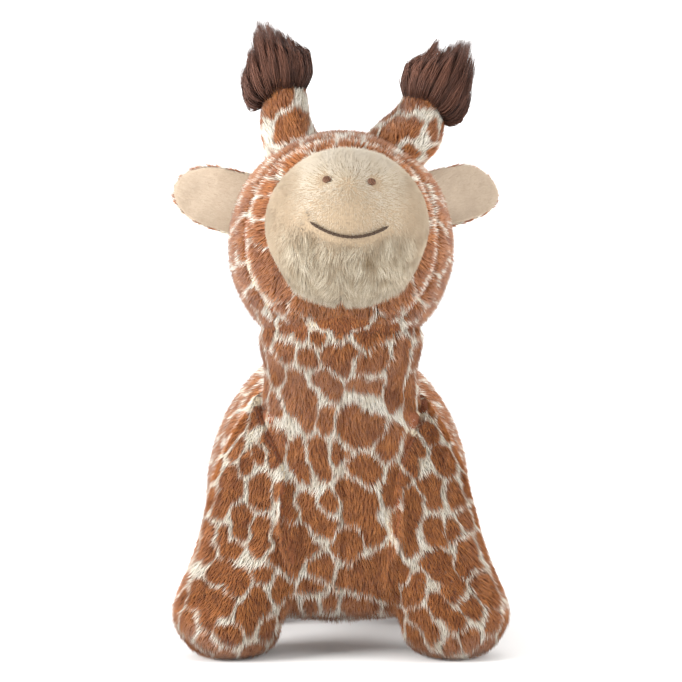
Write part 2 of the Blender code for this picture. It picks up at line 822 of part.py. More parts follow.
def ear_frame(side_name, side):
    """The ear's own axes: outwards from its root, to its front, and up its root seam."""
    tilt = math.radians(EAR_TILT_DEG)
    sweep = math.radians(EAR_SWEEP_DEG[side_name])
    up = Vector((-side * math.sin(tilt), 0, math.cos(tilt)))
    flat_out = Vector((side * math.cos(tilt), 0, math.sin(tilt)))
    back = Vector((0, 1, 0))
    outward = flat_out * math.cos(sweep) + back * math.sin(sweep)
    front = flat_out * math.sin(sweep) - back * math.cos(sweep)
    return outward, front, up


def ear_blade(name, root, frame, shares, ahead, thickness, material):
    """A cupped leaf: a grid bent forwards at its edges, thickened and rounded."""
    outward, front, up = frame
    width_share, start_share, reach_share = shares
    leaf = bmesh.new()
    bmesh.ops.create_grid(
        leaf, x_segments=EAR_CELLS[0], y_segments=EAR_CELLS[1], size=0.5
    )
    for vertex in leaf.verts:
        along = start_share + (vertex.co.x + 0.5) * (1 - start_share)
        across = 2 * vertex.co.y
        step = along * (len(EAR_WIDTH_SHARES) - 1)
        half = float(np.interp(step, range(len(EAR_WIDTH_SHARES)), EAR_WIDTH_SHARES))
        half *= EAR_HALF_WIDTH * width_share
        bulge = 1 - EAR_TIP_ROUND_SHARE * across * across * along
        cup = EAR_CUP * across * across * min(1.0, 2 * along)
        vertex.co = (
            root
            + outward * (along * EAR_LENGTH * reach_share * bulge)
            + up * (across * half - EAR_DROOP * along)
            + front * (ahead + cup - EAR_BEND * along * along)
        )
    mesh = bpy.data.meshes.new(name)
    leaf.to_mesh(mesh)
    leaf.free()
    mesh.shade_smooth()
    mesh.materials.append(material)
    blade = bpy.data.objects.new(name, mesh)
    GIRAFFE.objects.link(blade)
    thick = blade.modifiers.new("thickness", "SOLIDIFY")
    thick.thickness = thickness
    thick.offset = 0.0
    return rounded(blade)


def make_ears(head, head_skin, back, face, fill):
    carriers = {}
    for side_name, side in SIDES:
        start = (side * 2 * HEAD_HALF_WIDTH, PIVOT_Y + EAR_ROOT_BEHIND, HEAD_Z + EAR_ROOT_RISE)
        place, normal = first_hit(head_skin, start, (-side, 0, 0))
        root = place + Vector((side * EAR_ROOT_PROUD, 0, 0))
        frame = ear_frame(side_name, side)
        up = frame[2]
        holder = carrier(f"ear_{side_name}_root", root, head)
        carriers[side_name] = holder
        half = up * (EAR_BEAD_LENGTH / 2)
        play = up * SOCKET_PLAY
        blade = ear_blade(
            f"ear_back_{side_name}", root, frame, (1, 0, 1), 0.0, EAR_BACK_THICKNESS, EAR_PRINT
        )
        bead = rod(f"ear_bead_{side_name}", root - half, root + half, EAR_BEAD_RADIUS, 12)
        boolean(carried(blade, holder), bead, "UNION")
        ahead = EAR_BACK_THICKNESS / 2 + GAP + EAR_LINING_THICKNESS / 2
        lining = ear_blade(
            f"ear_lining_{side_name}", root, frame,
            (LINING_SHARE, LINING_START_SHARE, LINING_REACH_SHARE),
            ahead, EAR_LINING_THICKNESS, LINING,
        )
        carried(lining, holder)
        groove = rod(
            f"ear_groove_{side_name}", root - half - play, root + half + play,
            EAR_BEAD_RADIUS + SOCKET_PLAY, 12,
        )
        for piece in (back, face, fill):
            cut(piece, groove)
    return carriers


def make_horns(head, head_skin, back, face, fill):
    """Leaning stuffed stubs, each in a sleeve of dark long pile."""
    for side_name, side in SIDES:
        x = side * HORN_OUT[side_name]
        start = (x, PIVOT_Y, HEAD_Z + 2 * HEAD_HALF_HEIGHT)
        place, _ = first_hit(head_skin, start, (0, 0, -1))
        root = place - Vector((0, 0, HORN_ROOT_SINK))
        holder = carrier(f"horn_{side_name}_root", root, head)
        lean = Matrix.Rotation(side * math.radians(HORN_LEAN_DEG[side_name]), 4, "Y")
        recline = Matrix.Rotation(-math.radians(HORN_RECLINE_DEG), 4, "X")
        stand = Matrix.Translation(root) @ lean @ recline
        rows = [
            ((0, 0, along * HORN_LENGTH), *([radius * HORN_RADIUS] * 3))
            for along, radius in HORN_SHARES
        ]
        horn = stuffed_form(
            f"horn_{side_name}", rows, "Z", HORN_SEGMENTS, PRINT
        )
        horn.data.transform(stand)
        knob = ball(
            f"horn_ball_{side_name}", root, HORN_ROOT_BALL, ROOT_SEGMENTS, ROOT_RINGS
        )
        boolean(carried(horn, holder), knob, "UNION")
        sleeve = stuffed_form(f"horn_outer_{side_name}", rows, "Z", HORN_SEGMENTS)
        sleeve.data.transform(stand)
        grown(sleeve, GAP)
        tuft_rows = [
            (
                (side * sweep * TUFT_SWEEP[side_name], 0, TUFT_START + along * TUFT_LENGTH[side_name]),
                *([radius * TUFT_RADIUS] * 3),
            )
            for along, sweep, radius in TUFT_SHARES
        ]
        tuft = stuffed_form(
            f"horn_tuft_{side_name}", tuft_rows, "Z", HORN_SEGMENTS, TUFT
        )
        tuft.data.transform(stand)
        cut(carried(tuft, holder), sleeve)
        socket = ball(
            f"horn_socket_{side_name}", root, HORN_ROOT_BALL + SOCKET_PLAY,
            ROOT_SEGMENTS, ROOT_RINGS,
        )
        for piece in (back, face, fill):
            cut(piece, socket)


def make_tail(root, torso, fill, torso_outer):
    start = (TORSO_X, TORSO_BACK_Y + OVERRUN, TAIL_ROOT_Z)
    place, _ = first_hit(surface_of(torso_outer), start, (0, -1, 0))
    centre = place + Vector((0, TAIL_ROOT_PROUD, 0))
    holder = carrier("tail_root", centre, root)
    rows = [
        (
            tuple(centre + Vector((0, reach * TAIL_REACH, -along * TAIL_LENGTH))),
            *([radius * TAIL_RADIUS] * 3),
        )
        for along, reach, radius in TAIL_SHARES
    ]
    tail = stuffed_form("tail", rows, "Z", LIMB_SEGMENTS, PRINT)
    knob = ball("tail_ball", centre, TAIL_ROOT_BALL, ROOT_SEGMENTS, ROOT_RINGS)
    boolean(carried(tail, holder), knob, "UNION")
    sleeve = grown(stuffed_form("tail_outer", rows, "Z", LIMB_SEGMENTS), GAP)
    tip = centre + Vector((0, TAIL_REACH, -TAIL_LENGTH + TAIL_TUFT_OVERLAP))
    tuft_rows = [
        (
            tuple(tip - Vector((0, 0, along * TAIL_TUFT_LENGTH))),
            *([radius * TAIL_TUFT_RADIUS] * 3),
        )
        for along, radius in TAIL_TUFT_SHARES
    ]
    tuft = stuffed_form("tail_tuft", tuft_rows, "Z", LIMB_SEGMENTS, TUFT)
    cut(carried(tuft, holder), sleeve)
    socket = ball(
        "tail_socket", centre, TAIL_ROOT_BALL + SOCKET_PLAY, ROOT_SEGMENTS, ROOT_RINGS
    )
    cut(torso, socket)
    cut(fill, socket)


def centre_over_floor(root):
    """Moves the giraffe and its cutters so that its box is centred over the origin."""
    for cutter in CUTTERS.objects:
        if cutter.parent is None:
            cutter.parent = root
    bpy.context.view_layer.update()
    graph = bpy.context.evaluated_depsgraph_get()
    corners = [
        piece.matrix_world @ Vector(corner)
        for piece in GIRAFFE.objects
        if piece.type == "MESH"
        for corner in piece.evaluated_get(graph).bound_box
    ]
    low = [min(corner[axis] for corner in corners) for axis in range(3)]
    high = [max(corner[axis] for corner in corners) for axis in range(3)]
    root.location = (-(low[0] + high[0]) / 2, -(low[1] + high[1]) / 2, 0)


def build():
    root = carrier("giraffe_root", (0, 0, 0))
    head = carrier("head_pivot", PIVOT, root)
    torso, body_fill, torso_skin = make_torso(root)
    torso_outer = grown(torso_skin, GAP)
    chest_outer = make_neck(root, torso_outer)
    make_legs(root, torso_outer, chest_outer)
    make_tail(root, torso, body_fill, torso_outer)
    face, back, head_fill = make_head(head)
    muzzle_skin = make_muzzle(head)
    head_skin = surface_of(head_form("head_guide", FORM_SEGMENTS, 0))
    make_eyes(head, head_skin, muzzle_skin, face, head_fill)
    make_ears(head, head_skin, back, face, head_fill)
    make_horns(head, head_skin, back, face, head_fill)
    centre_over_floor(root)
    bpy.context.view_layer.update()
    for empty in GIRAFFE.objects:
        if empty.type == "EMPTY":
            print(empty.name, [round(value, 5) for value in empty.matrix_world.translation])


build()
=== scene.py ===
# %% [markdown]
# # A plush giraffe
# The toy is a set of stuffed covers sewn from printed plush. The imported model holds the
# covers as plain solids with joints in the neck, ears, horns and tail. This script dresses
# them: a cloth skin on each form, a pile of fibres on each skin, and the sewn details.
# Everything is in metres, +Z is up, and the giraffe looks along -Y.

import json
import math

import bpy
import numpy as np
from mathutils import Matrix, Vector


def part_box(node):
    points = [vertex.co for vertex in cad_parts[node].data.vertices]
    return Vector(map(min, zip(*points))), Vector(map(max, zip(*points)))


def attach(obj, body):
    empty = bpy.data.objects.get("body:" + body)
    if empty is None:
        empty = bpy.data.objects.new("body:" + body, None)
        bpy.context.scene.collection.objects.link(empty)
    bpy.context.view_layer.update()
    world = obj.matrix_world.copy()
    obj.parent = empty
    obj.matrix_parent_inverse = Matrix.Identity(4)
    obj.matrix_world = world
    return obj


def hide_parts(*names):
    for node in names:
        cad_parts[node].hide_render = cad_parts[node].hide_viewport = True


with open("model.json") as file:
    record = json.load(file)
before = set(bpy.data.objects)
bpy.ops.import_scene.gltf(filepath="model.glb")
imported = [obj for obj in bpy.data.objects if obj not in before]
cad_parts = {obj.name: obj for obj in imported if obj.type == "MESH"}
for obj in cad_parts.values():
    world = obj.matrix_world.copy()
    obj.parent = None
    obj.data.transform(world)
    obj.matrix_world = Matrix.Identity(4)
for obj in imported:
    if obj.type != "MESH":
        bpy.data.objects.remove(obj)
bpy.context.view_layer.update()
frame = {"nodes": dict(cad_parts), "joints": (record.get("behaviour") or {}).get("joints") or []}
RNG = np.random.default_rng(7)
MM = 0.001
PIVOT_AT = {joint["name"]: np.array(joint["pos_m"]) for joint in frame["joints"]}
SHIFT = PIVOT_AT["head_nod"] - np.array([0.0, -0.058, 0.168])

# %% [markdown]
# ## Camera
# The picture was taken from the front with a long lens, nearly level. A 160 mm lens at
# 1.59 m gives the same flat perspective, and 0.524 mm of toy to each pixel of a 682 pixel
# picture. It comes first, because the print is placed through it further on.

# %% Camera
LENS_MM, SENSOR_MM, PICTURE_PX = 160.0, 36.0, 682
DISTANCE, RISE_DEG = 1.588, 3.0
AIM = np.array([0.0, -0.04626, 0.1645])
sight = np.array([0, math.cos(math.radians(RISE_DEG)), -math.sin(math.radians(RISE_DEG))])
CAMERA_AT = AIM - DISTANCE * sight
camera_data = bpy.data.cameras.new("photo_camera")
camera_data.lens = LENS_MM
camera_data.sensor_width = SENSOR_MM
camera = bpy.data.objects.new("photo_camera", camera_data)
camera.location = CAMERA_AT
camera.rotation_euler = (math.radians(90 - RISE_DEG), 0, 0)
bpy.context.scene.collection.objects.link(camera)
bpy.context.scene.camera = camera


def in_picture(points):
    """Places in the picture, in metres at the aim's distance from the picture's middle.

    The sideways and upward parts of the line from the camera to the point, divided by
    its part along the view and multiplied by the aim's distance. The third value is depth.
    """
    line = points - CAMERA_AT
    up = np.cross([1.0, 0, 0], sight)
    depth = line @ sight
    return line[:, 0] / depth * DISTANCE, line @ up / depth * DISTANCE, depth


pixel = DISTANCE * SENSOR_MM / LENS_MM / PICTURE_PX
print("one pixel is", round(1000 * pixel, 3), "mm")

# %% [markdown]
# ## Stuffed forms
# A stuffed cover is a bag that swells evenly, so a few oval rings along a line describe
# it. A smooth curve through the rings' centres and half sizes gives the ring at any place
# between them. Mirroring the rows past both ends makes the ends round instead of pointed.


# %% A smooth curve through rows of values
def controls(values, sign):
    """Control rows of the smooth cubic curve that passes through the given rows.

    A point on the curve at a row is one sixth of both neighbouring control rows and four
    sixths of its own, and dividing by that in waves undoes it. Past the ends the rows
    are mirrored, with the same sign for centres and the other sign for half sizes.
    """
    mirrored = np.concatenate([values, sign * values[-2:0:-1]])
    share = (4 + 2 * np.cos(2 * np.pi * np.fft.fftfreq(len(mirrored)))) / 6
    return np.real(np.fft.ifft(np.fft.fft(mirrored, axis=0) / share[:, None], axis=0))


def blended(rows, s):
    """The curve's value at row number s: four control rows in cubic shares."""
    first = np.floor(s).astype(int)
    f = (s - first)[..., None]
    shares = ((1 - f) ** 3, 3 * f**3 - 6 * f**2 + 4, -3 * f**3 + 3 * f**2 + 3 * f + 1, f**3)
    return sum(w * rows[(first + k - 1) % len(rows)] for k, w in enumerate(shares)) / 6


def unit(vectors):
    return vectors / np.maximum(np.linalg.norm(vectors, axis=-1, keepdims=True), 1e-12)


def stacked(*columns):
    """Numbers and arrays side by side as the columns of one array."""
    return np.stack(np.broadcast_arrays(*columns), axis=-1)


curve = controls(np.array([[0.0], [1], [3], [4]]), 1)
print("halfway between the values 1 and 3:", blended(curve, np.array([1.5])))

# %% [markdown]
# A surface is any function of two numbers: s along the piece and the turn around it. Its
# outward direction comes from two short steps on it, so every shape below only has to say
# where its points are.


# %% Surfaces of two parameters
class Surface:
    """A closed surface with a point for each (s, turn)."""

    ends = (0.0, 1.0)

    def out(self, s, turn):
        """The outward direction: the step along s crossed with the step round the turn."""
        low, high = self.ends
        s = np.clip(s, low + 0.04, high - 0.04)
        along = self.point(s + 0.01, turn) - self.point(s - 0.01, turn)
        across = self.point(s, turn + 0.01) - self.point(s, turn - 0.01)
        return unit(np.cross(along, across))


class Stuffed(Surface):
    """Oval rings from rows of x, y, z, half width, rise and drop.

    Rings stand across Y with above upwards, or across Z with above to the front.
    """

    def __init__(self, rows, facing="Y", turned=np.eye(3), place=SHIFT):
        rows = np.asarray(rows, float)
        self.ends = (0.0, len(rows) - 1.0)
        self.centres, self.sizes = controls(rows[:, :3], 1), controls(rows[:, 3:], -1)
        self.axis = 1 if facing == "Y" else 2
        self.above = np.array([0, 0, 1.0]) if facing == "Y" else np.array([0, -1.0, 0])
        self.turned, self.place = turned, place

    def ring(self, s):
        return blended(self.centres, s), blended(self.sizes, s)

    def point(self, s, turn):
        """Centre + cos(turn) half widths sideways + sin(turn) rises or drops upwards."""
        centre, size = self.ring(s)
        up = np.sin(turn)
        reach = up * np.where(up >= 0, size[..., 1], size[..., 2])
        side = np.cos(turn) * size[..., 0]
        local = centre + side[..., None] * np.array([1.0, 0, 0]) + reach[..., None] * self.above
        return local @ self.turned.T + self.place

    def around(self, points):
        """Places across and up from each point's ring, the ring's sizes, and the end's nearness."""
        local = (points - self.place) @ self.turned
        steps = np.linspace(*self.ends, 241)
        level = self.ring(steps)[0][:, self.axis]
        height = local[:, self.axis]
        centre, size = self.ring(np.interp(height, level, steps))
        up = (local - centre) @ self.above
        beyond = np.minimum(height - level[0], level[-1] - height)
        reach = np.where(up >= 0, size[:, 1], size[:, 2])
        return local[:, 0] - centre[:, 0], up, size[:, 0], reach, beyond

    def inside(self, points, margin):
        """True where a point lies in the form's ring by more than the margin."""
        across, up, wide, reach, beyond = self.around(points)
        wide, reach = np.maximum(wide - margin, 1e-6), np.maximum(reach - margin, 1e-6)
        return ((across / wide) ** 2 + (up / reach) ** 2 < 1) & (beyond > margin)

    def gap(self, points):
        """Distance out of the form along the ray from the ring's middle, and the way outwards."""
        across, up, wide, reach, beyond = self.around(points)
        wide, reach = np.maximum(wide, 1e-4), np.maximum(reach, 1e-4)
        share = np.maximum(np.hypot(across / wide, up / reach), 1e-6)
        away = np.hypot(across, up) * (1 - 1 / share)
        away = np.where(beyond < 0, np.hypot(away, beyond), np.maximum(away, -beyond))
        sideways = (across / wide**2)[:, None] * np.array([1.0, 0, 0])
        return away, unit(sideways + (up / reach**2)[:, None] * self.above) @ self.turned.T


# %% [markdown]
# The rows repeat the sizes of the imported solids, as shares of each piece's main sizes, so
# that the cloth lies where the solid is.

# %% Rows of the torso, chest, head, muzzle and legs
TORSO_TABLE = np.array([
    (0.000, 0.865, 0.000, 0.000, 0.000), (0.066, 0.838, 0.575, 0.535, 0.714),
    (0.219, 0.919, 0.822, 0.767, 0.893), (0.426, 0.973, 0.959, 0.930, 0.973),
    (0.634, 1.000, 1.000, 1.000, 1.000), (0.831, 0.973, 0.849, 0.860, 0.857),
    (0.951, 0.973, 0.493, 0.488, 0.536), (1.000, 1.027, 0.000, 0.000, 0.000),
])
CHEST_TABLE = np.array([
    (0.000, 1.02, 0.00, 0.00), (0.045, 1.05, 0.92, 0.44), (0.200, 1.03, 0.86, 0.62),
    (0.440, 0.98, 0.82, 0.70), (0.620, 0.92, 0.95, 0.88), (0.760, 0.95, 1.00, 1.04),
    (0.855, 0.99, 1.01, 1.09), (0.940, 1.00, 0.78, 0.84), (1.000, 1.00, 0.00, 0.00),
])
HEAD_TABLE = np.array([
    (0.000, 0.13, 0.000, 0.000), (0.106, 0.14, 0.570, 0.515), (0.235, 0.07, 0.845, 0.870),
    (0.496, 0.00, 1.000, 1.000), (0.779, 0.00, 0.880, 0.880), (0.947, 0.01, 0.470, 0.470),
    (1.000, 0.02, 0.000, 0.000),
])
MUZZLE_TABLE = np.array([
    (0.00, 0.05, 0.00, 0.00), (0.13, 0.05, 0.55, 0.55), (0.37, 0.02, 0.94, 0.94),
    (0.62, 0.00, 1.00, 1.00), (0.85, -0.04, 0.82, 0.84), (1.00, -0.06, 0.00, 0.00),
])
LEG_TABLE = np.array([
    (0.000, 0.04, 0.06, 0.00, 0.00), (0.013, 0.03, 0.02, 0.55, 0.64),
    (0.085, 0.01, 0.00, 0.88, 0.94), (0.205, 0.00, 0.03, 1.00, 1.00),
    (0.365, 0.28, 0.32, 0.96, 0.86), (0.570, 0.60, 0.64, 0.90, 0.77),
    (0.770, 0.84, 0.86, 0.80, 0.73), (0.930, 0.96, 1.00, 0.50, 0.46),
    (1.000, 1.00, 1.00, 0.00, 0.00),
])
PIVOT = np.array([0.0, -0.058, 0.168])
HEAD_Z, HEAD_FRONT_Y, HEAD_LENGTH = 0.214, -0.118, 0.113
HEAD_WIDE, HEAD_HIGH = 0.060, 0.0605
MUZZLE_Z, MUZZLE_FRONT_Y, MUZZLE_LENGTH = 0.226, -0.160, 0.060
MUZZLE_X, MUZZLE_WIDE, MUZZLE_HIGH = 0.003, 0.0415, 0.0385


def long_form(table, middle_x, front_y, length, middle_z, wide, high):
    """Rings along Y: y is the front plus the share of the length, z the middle plus the lift."""
    a, lift, width, height = table.T
    z, rise = middle_z + lift * high, height * high
    return Stuffed(stacked(middle_x, front_y + a * length, z, width * wide, rise, rise))


def leg_form(side, paw_x, paw_y, high, wide, deep, inward, backward):
    """Rings along Z that lean inwards and backwards from the paw to the shoulder."""
    a, inner, behind, width, depth = LEG_TABLE.T
    return Stuffed(stacked(
        side * (paw_x - inner * inward), paw_y + behind * backward, a * high - 0.0005,
        width * wide, depth * deep, depth * deep,
    ), "Z")


a, height, width, rise, drop = TORSO_TABLE.T
torso = Stuffed(stacked(
    -0.0018, -0.078 + a * 0.183, height * 0.074, width * 0.073, rise * 0.088, drop * 0.0575
))
a, middle, width, depth = CHEST_TABLE.T
chest = Stuffed(stacked(
    0, middle * PIVOT[1], 0.0165 + a * 0.1695, width * 0.041, depth * 0.038, depth * 0.038
), "Z")
head = long_form(HEAD_TABLE, 0, HEAD_FRONT_Y, HEAD_LENGTH, HEAD_Z, HEAD_WIDE, HEAD_HIGH)
snout = long_form(
    MUZZLE_TABLE, MUZZLE_X, MUZZLE_FRONT_Y, MUZZLE_LENGTH, MUZZLE_Z, MUZZLE_WIDE, MUZZLE_HIGH
)
FRONT_LEG = (0.0585, -0.072, 0.128, 0.030, 0.033, 0.0225, 0.028)
HIND_LEG = (0.0565, 0.060, 0.118, 0.028, 0.033, 0.0185, -0.003)
legs = {
    f"{end}_leg_{name}": leg_form(side, *sizes)
    for end, sizes in (("front", FRONT_LEG), ("hind", HIND_LEG))
    for name, side in (("left", -1), ("right", 1))
}
print("the torso starts at", torso.point(np.array([0.0]), np.array([0.0])).round(3))

# %% [markdown]
# The neck ends in a ball that the head sits on, as the head's cover wraps round it. Horns
# and tail are short tubes, and the horns lean outwards and a little back. The horns' rows
# give the height, the shift towards the middle and the radius in millimetres.

# %% Rows of the neck ball, horns, tufts and tail
NECK_BALL, NECK_SOCKET = 0.044, 0.0455
polar = np.linspace(0, np.pi, 9)
neck_ball = Stuffed(stacked(
    0, PIVOT[1], PIVOT[2] - NECK_BALL * np.cos(polar), *[NECK_BALL * np.sin(polar)] * 3
), "Z")
TUFT_START, TUFT_LENGTH, TUFT_RADIUS = 0.016, 0.050, 0.0184
HORN_TABLES = {
    "left": (
        (-24, 2, 0), (-19, 1.5, 14), (-9, 0.8, 16.6), (0, -0.1, 15.6), (6, -1.0, 14.8),
        (12, -1.4, 14), (20, -0.6, 13.2), (28, 0, 12.8), (33, 0, 12.5), (40, 0, 0),
    ),
    "right": (
        (-24, 6, 0), (-19, 6.2, 14.5), (-9, 6.0, 17.6), (0, 4.2, 18.2), (6, 2.1, 18.2),
        (12, 0.2, 17.2), (20, -1.2, 14.6), (28, -1.2, 13.2), (33, -1.6, 12.5), (40, -1.6, 0),
    ),
}
TUFT_TABLE = np.array([
    (0, 0, 0), (0.10, 0.02, 0.92), (0.34, 0.12, 1), (0.62, 0.34, 0.93), (0.86, 0.74, 0.54),
    (1, 1, 0),
])
TAIL_TABLE = np.array([
    (0, 0, 0), (0.08, 0.30, 1), (0.30, 0.78, 1), (0.60, 1, 0.92), (0.92, 1, 0.86), (1, 1, 0),
])


def leaning(side, lean_deg, recline_deg):
    """The turn that tips a horn sideways by its lean and back by its recline."""
    a, b = side * math.radians(lean_deg), -math.radians(recline_deg)
    sideways = [[math.cos(a), 0, math.sin(a)], [0, 1, 0], [-math.sin(a), 0, math.cos(a)]]
    back = [[1, 0, 0], [0, math.cos(b), -math.sin(b)], [0, math.sin(b), math.cos(b)]]
    return np.array(sideways) @ np.array(back)


horns, tuft_forms, horn_stand = {}, {}, {}
for name, side, lean, sweep in (("left", -1, 10, 0.006), ("right", 1, 22, 0.004)):
    turned, place = leaning(side, lean, 4), PIVOT_AT[f"horn_{name}_flex"]
    horn_stand[name] = (turned, place, side)
    up, inwards, radius = MM * np.array(HORN_TABLES[name]).T
    horns[name] = Stuffed(stacked(-side * inwards, 0, up, *[radius] * 3), "Z", turned, place)
    a, bend, radius = TUFT_TABLE.T
    tuft_forms[name] = Stuffed(stacked(
        side * bend * sweep, 0, TUFT_START + a * TUFT_LENGTH, *[radius * TUFT_RADIUS] * 3
    ), "Z", turned, place)
TAIL_AT = PIVOT_AT["tail_swing"]
a, bend, radius = TAIL_TABLE[::-1].T
tail = Stuffed(
    stacked(0, bend * 0.017, -a * 0.058, *[radius * 0.0052] * 3), "Z", place=TAIL_AT
)
print("horn roots", {name: stand[1].round(4).tolist() for name, stand in horn_stand.items()})

# %% [markdown]
# An ear is two leaves of cloth sewn back to back. Each is a flat, lopsided oval that is
# cupped forwards at its edges and bends back at its tip. It starts inside the head, so
# that no gap opens when it flaps.


# %% Ears as cupped leaves
class Leaf(Surface):
    """A cupped leaf from inside the head (s = 0) to its tip (s = 1), with a rounded edge.

    The turn goes round a flat oval: its cosine is the place across and its sine the side.
    """

    def __init__(self, name, side, sweep_deg, edges, ahead, thickness, trim):
        tilt, sweep = math.radians(24.0), math.radians(sweep_deg)
        self.up = np.array([-side * math.sin(tilt), 0, math.cos(tilt)])
        flat = np.array([side * math.cos(tilt), 0, math.sin(tilt)])
        back = np.array([0, 1.0, 0])
        self.outward = flat * math.cos(sweep) + back * math.sin(sweep)
        self.front = flat * math.sin(sweep) - back * math.cos(sweep)
        self.hand, self.root = side, PIVOT_AT[f"ear_{name}_flap"]
        self.edges, self.ahead, self.thickness, self.trim = edges, ahead, thickness, trim

    def outline(self, r):
        """Upper and lower edge at a reach r in metres: straight edges times part of an oval."""
        far, tip = 0.0336 - self.trim, -0.005
        upper = np.sqrt(np.clip(1 - np.clip((r - 0.010) / (far - 0.010), 0, 1) ** 2.5, 0, 1))
        lower = np.sqrt(np.clip(1 - np.clip((r - 0.004) / (far - 0.004), 0, 1) ** 2, 0, 1))
        return (
            tip + (self.edges[1] - self.trim - 0.2 * r - tip) * upper,
            tip + (self.edges[0] + self.trim - 0.12 * r - tip) * lower,
        )

    def point(self, s, turn):
        """Outwards by the reach, up between both edges, forwards by cup, bend and thickness."""
        s = np.clip(s, 0, 1)
        r = -0.008 + (0.0416 - self.trim) * np.sin(np.pi / 2 * s) ** 0.9
        high, low = self.outline(r)
        half = (high - low) / 2
        across = -self.hand * np.cos(turn) * half
        cup = 0.0055 * (across / 0.0178) ** 2 * np.clip(0.4 + r / 0.02, 0, 1) - 2.6 * r * r
        thick = np.sin(turn) * self.thickness / 2 * np.minimum(1, half / 0.005)
        return (
            self.root
            + r[..., None] * self.outward
            + (across + (high + low) / 2)[..., None] * self.up
            + (self.ahead + cup + thick)[..., None] * self.front
        )


EAR_STAND = {"left": (-1, 8.0, (-0.0180, 0.0160)), "right": (1, 32.0, (-0.0140, 0.0174))}
BACK_SIDE, FRONT_SIDE = (np.pi - 0.6, 2 * np.pi + 0.6), (-0.3, np.pi + 0.3)
ear_backs, ear_linings = {}, {}
for name, stand in EAR_STAND.items():
    ear_backs[name] = Leaf(name, *stand, 0.0, 0.0026, 0.0)
    ear_linings[name] = Leaf(name, *stand, 0.0024, 0.0022, 0.0009)
high, low = ear_backs["left"].outline(np.array(0.01))
print("an ear leaf is", round(1000 * float(high - low)), "mm wide")

# %% [markdown]
# ## Scattering roots
# Plush is a knitted cloth with a fibre in each loop. Places for the fibres are picked
# evenly by area: the surface is cut in small cells, and each cell gets roots in
# proportion to its size. Roots that lie well inside a neighbouring form are left out.


# %% Roots and gentle waves
def waves(points, size, seed, count=7):
    """Smooth noise of about -1 to 1: a sum of sine waves of one length in all directions."""
    made = np.random.default_rng(seed)
    ways = unit(made.normal(size=(count, 3))) * (2 * np.pi / size)
    ways = ways * made.uniform(0.6, 1.3, (count, 1))
    starts = made.uniform(0, 2 * np.pi, count)
    return np.sin(points @ ways.T + starts).sum(axis=1) / math.sqrt(count)


def wavy(points, size, seed):
    """A wave for each of the three directions, to bend space with."""
    return np.stack([waves(points, size, seed + k) for k in range(3)], axis=1)


def scattered(surface, per_mm2, s_span=None, turn_span=(0, 2 * np.pi)):
    """Even random places on a surface, as (place, out) arrays.

    A running sum of the cells' areas is cut in equal steps, and each step falls in the
    cell that gets the root.
    """
    s_edge = np.linspace(*(s_span or surface.ends), 121)
    turn_edge = np.linspace(*turn_span, 161)
    s, turn = np.meshgrid(
        (s_edge[1:] + s_edge[:-1]) / 2, (turn_edge[1:] + turn_edge[:-1]) / 2, indexing="ij"
    )
    ds, dturn = s_edge[1] - s_edge[0], turn_edge[1] - turn_edge[0]
    along = surface.point(s + ds / 2, turn) - surface.point(s - ds / 2, turn)
    across = surface.point(s, turn + dturn / 2) - surface.point(s, turn - dturn / 2)
    area = np.linalg.norm(np.cross(along, across), axis=-1).ravel()
    count = int(area.sum() * 1e6 * per_mm2)
    steps = (np.arange(count) + RNG.random(count)) / count
    cell = np.minimum(np.searchsorted(np.cumsum(area) / area.sum(), steps), area.size - 1)
    s = s.ravel()[cell] + (RNG.random(count) - 0.5) * ds
    turn = turn.ravel()[cell] + (RNG.random(count) - 0.5) * dturn
    s = np.clip(s, surface.ends[0] + 1e-3, surface.ends[1] - 1e-3)
    return surface.point(s, turn), surface.out(s, turn)


def outside(roots, *forms, margin=3.5 * MM):
    """Keeps the roots that lie in none of the forms by more than the margin."""
    place, out = roots
    keep = np.ones(len(place), bool)
    for form in forms:
        keep &= ~form.inside(place, margin)
    return place[keep], out[keep]


# %% [markdown]
# Stuffed covers don't meet in a sharp valley, because the stuffing and the pile bridge it.
# The skins and the roots of the body are both moved by the same rule.


# %% Valleys filled between the covers
def filled(place, out, others):
    """Moves points out of the valleys between a cover and the forms that it meets.

    A point moves by a quarter of the fillet's size times the square of its nearness to the
    other form, along the line halfway between both outward directions. The share shown
    falls to 0 at 7 mm inside another form, and near the floor the paws stay apart.
    """
    shape = place.shape
    place, out = place.reshape(-1, 3), out.reshape(-1, 3)
    buried = np.max([-other.gap(place)[0] for other, _ in others], axis=0)
    shown = np.clip(1 - buried / (7 * MM), 0, 1)
    apart = np.clip((place[:, 2] - 8 * MM) / (32 * MM), 0, 1)
    for other, fillet in others:
        away, way = other.gap(place)
        close = np.clip(1 - np.maximum(away, 0) / fillet, 0, 1) * shown * apart
        between = unit(out + close[:, None] * way)
        facing = np.maximum((out * between).sum(axis=1), 0.55)
        place = place + (fillet / 4 * close**2 / facing)[:, None] * between
        out = between
    return place.reshape(shape), out.reshape(shape), shown.reshape(shape[:-1])


BODY = {"torso_cover": torso, "neck_and_chest": chest, **legs}


def neighbours(name):
    """The forms of the body that a cover meets, with the size of the fillet between them."""
    front = [(legs["front_leg_left"], 30 * MM), (legs["front_leg_right"], 30 * MM)]
    hind = [(legs["hind_leg_left"], 16 * MM), (legs["hind_leg_right"], 16 * MM)]
    if name == "torso_cover":
        return [(chest, 12 * MM), *front, *hind]
    if name == "neck_and_chest":
        return [(torso, 12 * MM), *front]
    return [(torso, 30 * MM), (chest, 30 * MM)] if "front" in name else [(torso, 16 * MM)]


print("the chest meets", len(neighbours("neck_and_chest")), "forms")

